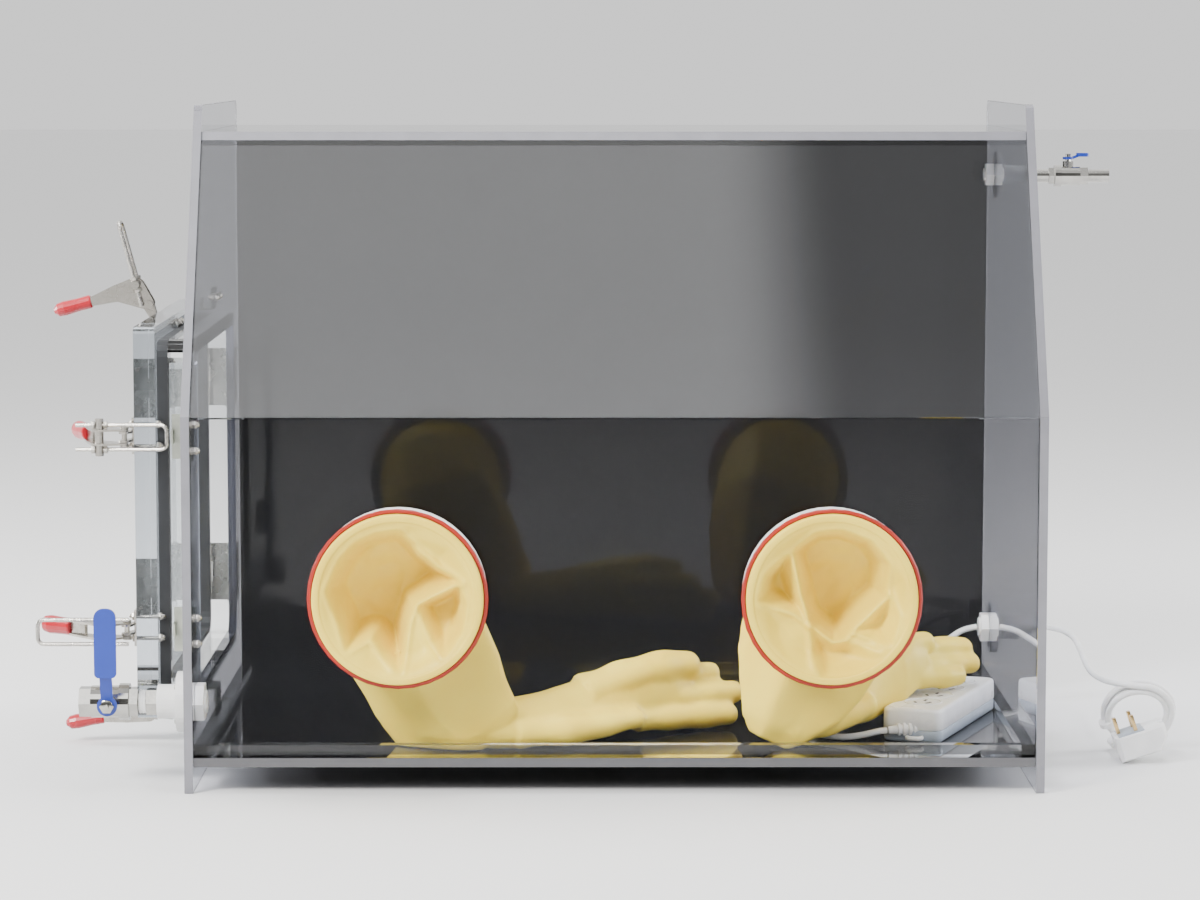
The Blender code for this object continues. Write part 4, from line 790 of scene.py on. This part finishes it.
def glove_body(side, facts):
    """The outside of the sleeve, the wrist and the hand, grown together and then creased."""
    shape = bmesh.new()
    loft(shape, tube_rings(facts["sleeve"], 72, 0.20, 5, facts["phase"]))
    loft(shape, tube_rings(facts["hand"], 40, 0.10, 4, facts["phase"]))
    for route, start, end in facts["fingers"]:
        loft(shape, finger_rings(route, start, end))
    name = f"glove_{side}_body"
    piece = add(name, mesh_of(shape, name), LATEX, "chamber", sharp=0)
    fuse = piece.modifiers.new("fuse", "REMESH")
    fuse.mode, fuse.voxel_size, fuse.use_smooth_shade = "VOXEL", VOXEL, True
    calm = piece.modifiers.new("calm", "SMOOTH")
    calm.factor, calm.iterations = 0.5, 2
    apply_modifiers(piece)

    mesh = piece.data
    count = len(mesh.vertices)
    points = np.empty(count * 3)
    mesh.vertices.foreach_get("co", points)
    points = points.reshape(-1, 3)
    normals = np.empty(count * 3)
    mesh.vertices.foreach_get("normal", normals)
    normals = normals.reshape(-1, 3)
    seed = facts["seed"]
    push = np.array([
        0.0016 * noise.noise(Vector((x * 16 + seed, y * 16, z * 16)))
        + 0.0020 * (0.5 - abs(noise.noise(Vector((x * 11, y * 13 + seed, z * 11 + 7)))) * 2)
        for x, y, z in points
    ])
    back = points[:, 1] - SHIFT.y
    push *= step_up(back, 0.014, 0.05)
    points += normals * push[:, None]
    points[:, 2] = np.maximum(points[:, 2], FLOOR_TOP + 0.0006)
    mesh.vertices.foreach_set("co", points.ravel())
    mesh.update()

    # The sleeve is open towards the port: its front cap goes, so that the crumpled mouth shows.
    shape = bmesh.new()
    shape.from_mesh(mesh)
    centre = at(facts["side"] * PORT_X, 0, PORT_Z)
    cap = []
    for face in shape.faces:
        middle = face.calc_center_median()
        in_front = middle.y < centre.y + CAP_BACK and face.normal.y < -0.6
        if in_front and hypot(middle.x - centre.x, middle.z - centre.z) < CAP_RADIUS:
            cap.append(face)
    bmesh.ops.delete(shape, geom=cap, context="FACES")
    shape.to_mesh(mesh)
    shape.free()
    mesh.shade_smooth()
    return piece


for glove_side, glove_facts in GLOVES.items():
    mouth = glove_mouth(glove_side, glove_facts["side"] * PORT_X, glove_facts["hollows"], glove_facts["seed"])
    sleeve = glove_body(glove_side, glove_facts)
    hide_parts(f"glove_{glove_side}")


# ---------------------------------------------------------------- fasteners and small parts
def screw(shape, where, radius, tall):
    """A domed head with a flat top, its seat at the matrix's origin and its top along z."""
    profile = [(radius, 0), (radius, tall * 0.35), (radius * 0.93, tall * 0.62), (radius * 0.74, tall * 0.88),
               (radius * 0.53, tall)]
    lathe(shape, profile, where)


def nut(shape, where, radius, tall, dome=0.0):
    """A hexagon nut with chamfered ends, and a dome on it if asked for."""
    ring = [(radius * cos(pi / 3 * i), radius * sin(pi / 3 * i)) for i in range(6)]
    loft(shape, [[where @ Vector((x * k, y * k, z)) for x, y in ring]
                 for k, z in ((0.93, 0), (1.0, tall * 0.12), (1.0, tall * 0.88), (0.92, tall))])
    if dome:
        flat = radius * 0.78
        lathe(shape, [(flat, tall * 0.98), (flat, tall), (flat * 0.93, tall + dome * 0.45),
                      (flat * 0.7, tall + dome * 0.8), (flat * 0.35, tall + dome * 0.97), (0.0002, tall + dome)],
              where, 20)


# The door's outer face and edges, and where each latch stands on an edge (y, z), with the way out over that edge.
DOOR_OUT, DOOR_THICK = 0.4496, 0.020
DOOR_FRONT, DOOR_HIGH, DOOR_LOW, DOOR_MID = 0.058, 0.430, 0.060, 0.2645
LATCHES = {
    "top": ((DOOR_MID, DOOR_HIGH), (0, 1)), "front_upper": ((DOOR_FRONT, 0.328), (-1, 0)),
    "front_lower": ((DOOR_FRONT, 0.146), (-1, 0)), "bottom": ((DOOR_MID, DOOR_LOW), (0, -1)),
}
# Depths below the door's outer face, and places of the fasteners along a latch's own x and z.
KEEPER_FACE, PANEL_INSIDE, PROUD = -0.0473, -(DOOR_OUT - HALF_WIDTH + SIDE_SHEET), 0.0002
BOLT_X, BOLT_Z, BOLT_RADIUS = -0.010, 0.01025, 0.0019
KEEPER_X, KEEPER_Z, KEEPER_BOLT_RADIUS = 0.0145, 0.0123, 0.0018
OUTWARD, INWARD = turn_to((0, 1, 0)), turn_to((0, -1, 0))


def latch_frame(latch):
    """x past the door's edge, y out of the door's face and z along the edge."""
    edge, out = LATCHES[latch]
    x_way, y_way = Vector((0, *out)), Vector((-1, 0, 0))
    turn = Matrix((x_way, y_way, x_way.cross(y_way))).transposed().to_4x4()
    return Matrix.Translation(at(-DOOR_OUT, *edge)) @ turn


def on_latch(matrix, place, y, turn):
    x, z = place
    return matrix @ Matrix.Translation((x, y, z)) @ turn


for latch_name in LATCHES:
    matrix = latch_frame(latch_name)
    screws, bolts = bmesh.new(), bmesh.new()
    for sign in (-1, 1):
        bolt, keeper_bolt = (BOLT_X, sign * BOLT_Z), (KEEPER_X, sign * KEEPER_Z)
        nut(bolts, on_latch(matrix, bolt, 0.0023, OUTWARD), 0.0040, 0.0028)
        shank = [(BOLT_RADIUS, -DOOR_THICK - 0.001), (BOLT_RADIUS, 0.0072), (0.0014, 0.0078)]
        lathe(bolts, shank, on_latch(matrix, bolt, 0, OUTWARD), 14)
        nut(bolts, on_latch(matrix, bolt, -DOOR_THICK - PROUD, INWARD), 0.0038, 0.0030, 0.0030)
        screw(screws, on_latch(matrix, keeper_bolt, KEEPER_FACE, OUTWARD), 0.0036, 0.0022)
        if latch_name != "bottom":
            nut(screws, on_latch(matrix, keeper_bolt, PANEL_INSIDE - PROUD, INWARD), 0.0038, 0.0028, 0.0028)
        shank = [(KEEPER_BOLT_RADIUS, PANEL_INSIDE), (KEEPER_BOLT_RADIUS, KEEPER_FACE)]
        lathe(screws, shank, on_latch(matrix, keeper_bolt, 0, OUTWARD), 14)
    add(f"latch_bolts_{latch_name}", mesh_of(bolts, "bolts"), NICKEL, "door")
    add(f"keeper_screws_{latch_name}", mesh_of(screws, "screws"), NICKEL, "chamber")

HINGES = {"lower": 0.143, "upper": 0.347}  # heights of their middles
HINGE_Y, HINGE_SCREW_Y, HINGE_SCREW_Z = 0.4768, 0.0095, 0.0195
DOOR_LEAF_X, DOOR_LEAF_Y = -0.4396, 0.4738
for hinge, z in HINGES.items():
    frame_side, door_side = bmesh.new(), bmesh.new()
    for sign in (-1, 1):
        screw_z = z + sign * HINGE_SCREW_Z
        for y in (HINGE_Y - HINGE_SCREW_Y, HINGE_Y + HINGE_SCREW_Y):
            place = Matrix.Translation(at(-HALF_WIDTH - 0.0028, y, screw_z)) @ turn_to((-1, 0, 0))
            screw(frame_side, place, 0.0034, 0.0018)
        place = Matrix.Translation(at(DOOR_LEAF_X, DOOR_LEAF_Y, screw_z)) @ OUTWARD
        screw(door_side, place, 0.0034, 0.0018)
        lathe(door_side, [(0.0017, -0.018), (0.0017, 0.0)], place, 12)
    add(f"hinge_screws_frame_{hinge}", mesh_of(frame_side, "screws"), NICKEL, "chamber")
    add(f"hinge_screws_door_{hinge}", mesh_of(door_side, "screws"), NICKEL, "door")


def flange_screws(name, side, hole, spread_radius, face):
    """Four screws round a hole in a side panel, on a flange's face."""
    shape = bmesh.new()
    y, z = hole
    for i in range(4):
        angle = pi / 4 + pi / 2 * i
        where = at(side * face, y + spread_radius * cos(angle), z + spread_radius * sin(angle))
        screw(shape, Matrix.Translation(where) @ turn_to((side, 0, 0)), 0.0026, 0.0014)
    add(name, mesh_of(shape, name), NICKEL, "chamber")


flange_screws("inlet_flange_screws", -1, INLET, 0.0230, 0.4094)
flange_screws("outlet_flange_screws", 1, OUTLET, 0.0175, 0.4064)

# White tape round the inlet's pipe thread, and a nut with its stem on the inlet's lever.
tape = bmesh.new()
lathe(tape, [(0.0108, 0), (0.0112, 0.0006), (0.0107, 0.0018), (0.0113, 0.0030), (0.0108, 0.0042), (0.0112, 0.0056),
             (0.0106, 0.0066)], Matrix.Translation(at(-0.4386, *INLET)) @ turn_to((-1, 0, 0)), 28)
add("inlet_thread_tape", mesh_of(tape, "inlet_thread_tape"), TAPE, "chamber")
stem_nut = bmesh.new()
lever_low, lever_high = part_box("inlet_valve_lever")
stem_x = (lever_low[0] + lever_high[0]) / 2 - SHIFT.x
stem = Matrix.Translation(at(stem_x, INLET[0] - 0.0283, INLET[1])) @ INWARD
nut(stem_nut, stem, 0.0068, 0.0032)
lathe(stem_nut, [(0.0026, 0.002), (0.0026, 0.0056), (0.0020, 0.0062)], stem, 14)
add("inlet_stem_nut", mesh_of(stem_nut, "inlet_stem_nut"), CHROME, "inlet_lever")


# ---------------------------------------------------------------- stage and light
FLOOR_REACH, FLOOR_DOWN = 30, -0.0005  # just under the feet
floor = bpy.data.meshes.new("floor")
corners = [(x * FLOOR_REACH, y * FLOOR_REACH, FLOOR_DOWN) for x, y in ((-1, -1), (1, -1), (1, 1), (-1, 1))]
floor.from_pydata(corners, [], [(0, 1, 2, 3)])
floor_object = bpy.data.objects.new("floor", floor)
scene.collection.objects.link(floor_object)
pale, _, pale_shader, _ = new_material("pale_floor")
settle(pale_shader, colour=(0.70, 0.70, 0.70), rough=0.85, specular=0.2)
floor.materials.append(pale)

world = bpy.data.worlds.new("studio")
world.use_nodes = True
scene.world = world
sky = world.node_tree
direction = sky.nodes.new("ShaderNodeSeparateXYZ")
sky.links.new(sky.nodes.new("ShaderNodeTexCoord").outputs["Generated"], direction.inputs["Vector"])


def sky_math(operation, *values):
    """A math node of the sky, on numbers and other nodes' outputs."""
    made = sky.nodes.new("ShaderNodeMath")
    made.operation = operation
    for socket, value in zip(made.inputs, values):
        if isinstance(value, (int, float)):
            socket.default_value = value
        else:
            sky.links.new(value, socket)
    return made.outputs["Value"]


def sky_step(value, start, end, low=0.0, high=1.0):
    """From low at the start to high at the end, with soft ends."""
    made = sky.nodes.new("ShaderNodeMapRange")
    made.interpolation_type = "SMOOTHSTEP"
    for key, number in (("From Min", start), ("From Max", end), ("To Min", low), ("To Max", high)):
        made.inputs[key].default_value = number
    sky.links.new(value, made.inputs["Value"])
    return made.outputs["Result"]


# Pale behind the box, dim in front of it near the horizon and bright overhead, with one broad soft panel up in front.
height = sky_math("ARCSINE", direction.outputs["Z"])
bearing = sky_math("ARCTAN2", direction.outputs["X"], sky_math("MULTIPLY", direction.outputs["Y"], -1.0))
rear = sky_step(direction.outputs["Y"], -0.35, 0.35)
front_light = sky_step(height, radians(15), radians(36), 0.12, 0.85)
rear_light = sky_step(height, radians(2), radians(22), 1.07, 1.7)
front = sky_math("SUBTRACT", 1.0, rear)
base = sky_math("ADD", sky_math("MULTIPLY", rear, rear_light), sky_math("MULTIPLY", front, front_light))
panel = sky_math("MULTIPLY", sky_step(height, radians(26), radians(44)),
                 sky_step(height, radians(60), radians(76), 1.0, 0.0))
panel = sky_math("MULTIPLY", panel, sky_step(bearing, radians(-70), radians(-4)))
panel = sky_math("MULTIPLY", panel, sky_step(bearing, radians(3.2), radians(6.4), 1.0, 0.0))
backdrop = sky.nodes["Background"]
sky.links.new(sky_math("ADD", base, sky_math("MULTIPLY", panel, 2.5)), backdrop.inputs["Strength"])
backdrop.inputs["Color"].default_value = (1.0, 1.0, 1.0, 1)


def softbox(name, place, target, size, power, colour=(1, 1, 1)):
    """A rectangular light of a size in metres and a power in watts, turned to its target."""
    light = bpy.data.lights.new(name, "AREA")
    light.shape, light.size, light.size_y = "RECTANGLE", *size
    light.energy, light.color = power, colour
    made = bpy.data.objects.new(name, light)
    scene.collection.objects.link(made)
    made.location = at(*place)
    made.rotation_euler = (at(*target) - made.location).to_track_quat("-Z", "Y").to_euler()


softbox("key", (-2.3, -2.3, 2.6), (0, 0.15, 0.2), (1.1, 1.1), 270, (1.0, 0.985, 0.96))
softbox("fill", (2.6, -2.4, 1.7), (0, 0.2, 0.2), (1.3, 1.3), 45)
for side in (-1, 1):
    softbox("side", (side * 2.6, 0.95, 1.0), (0, 0.1, 0.12), (1.0, 1.0), 70)
softbox("top", (0.1, 0.25, 2.6), (0, 0.25, 0.2), (1.4, 0.8), 45)
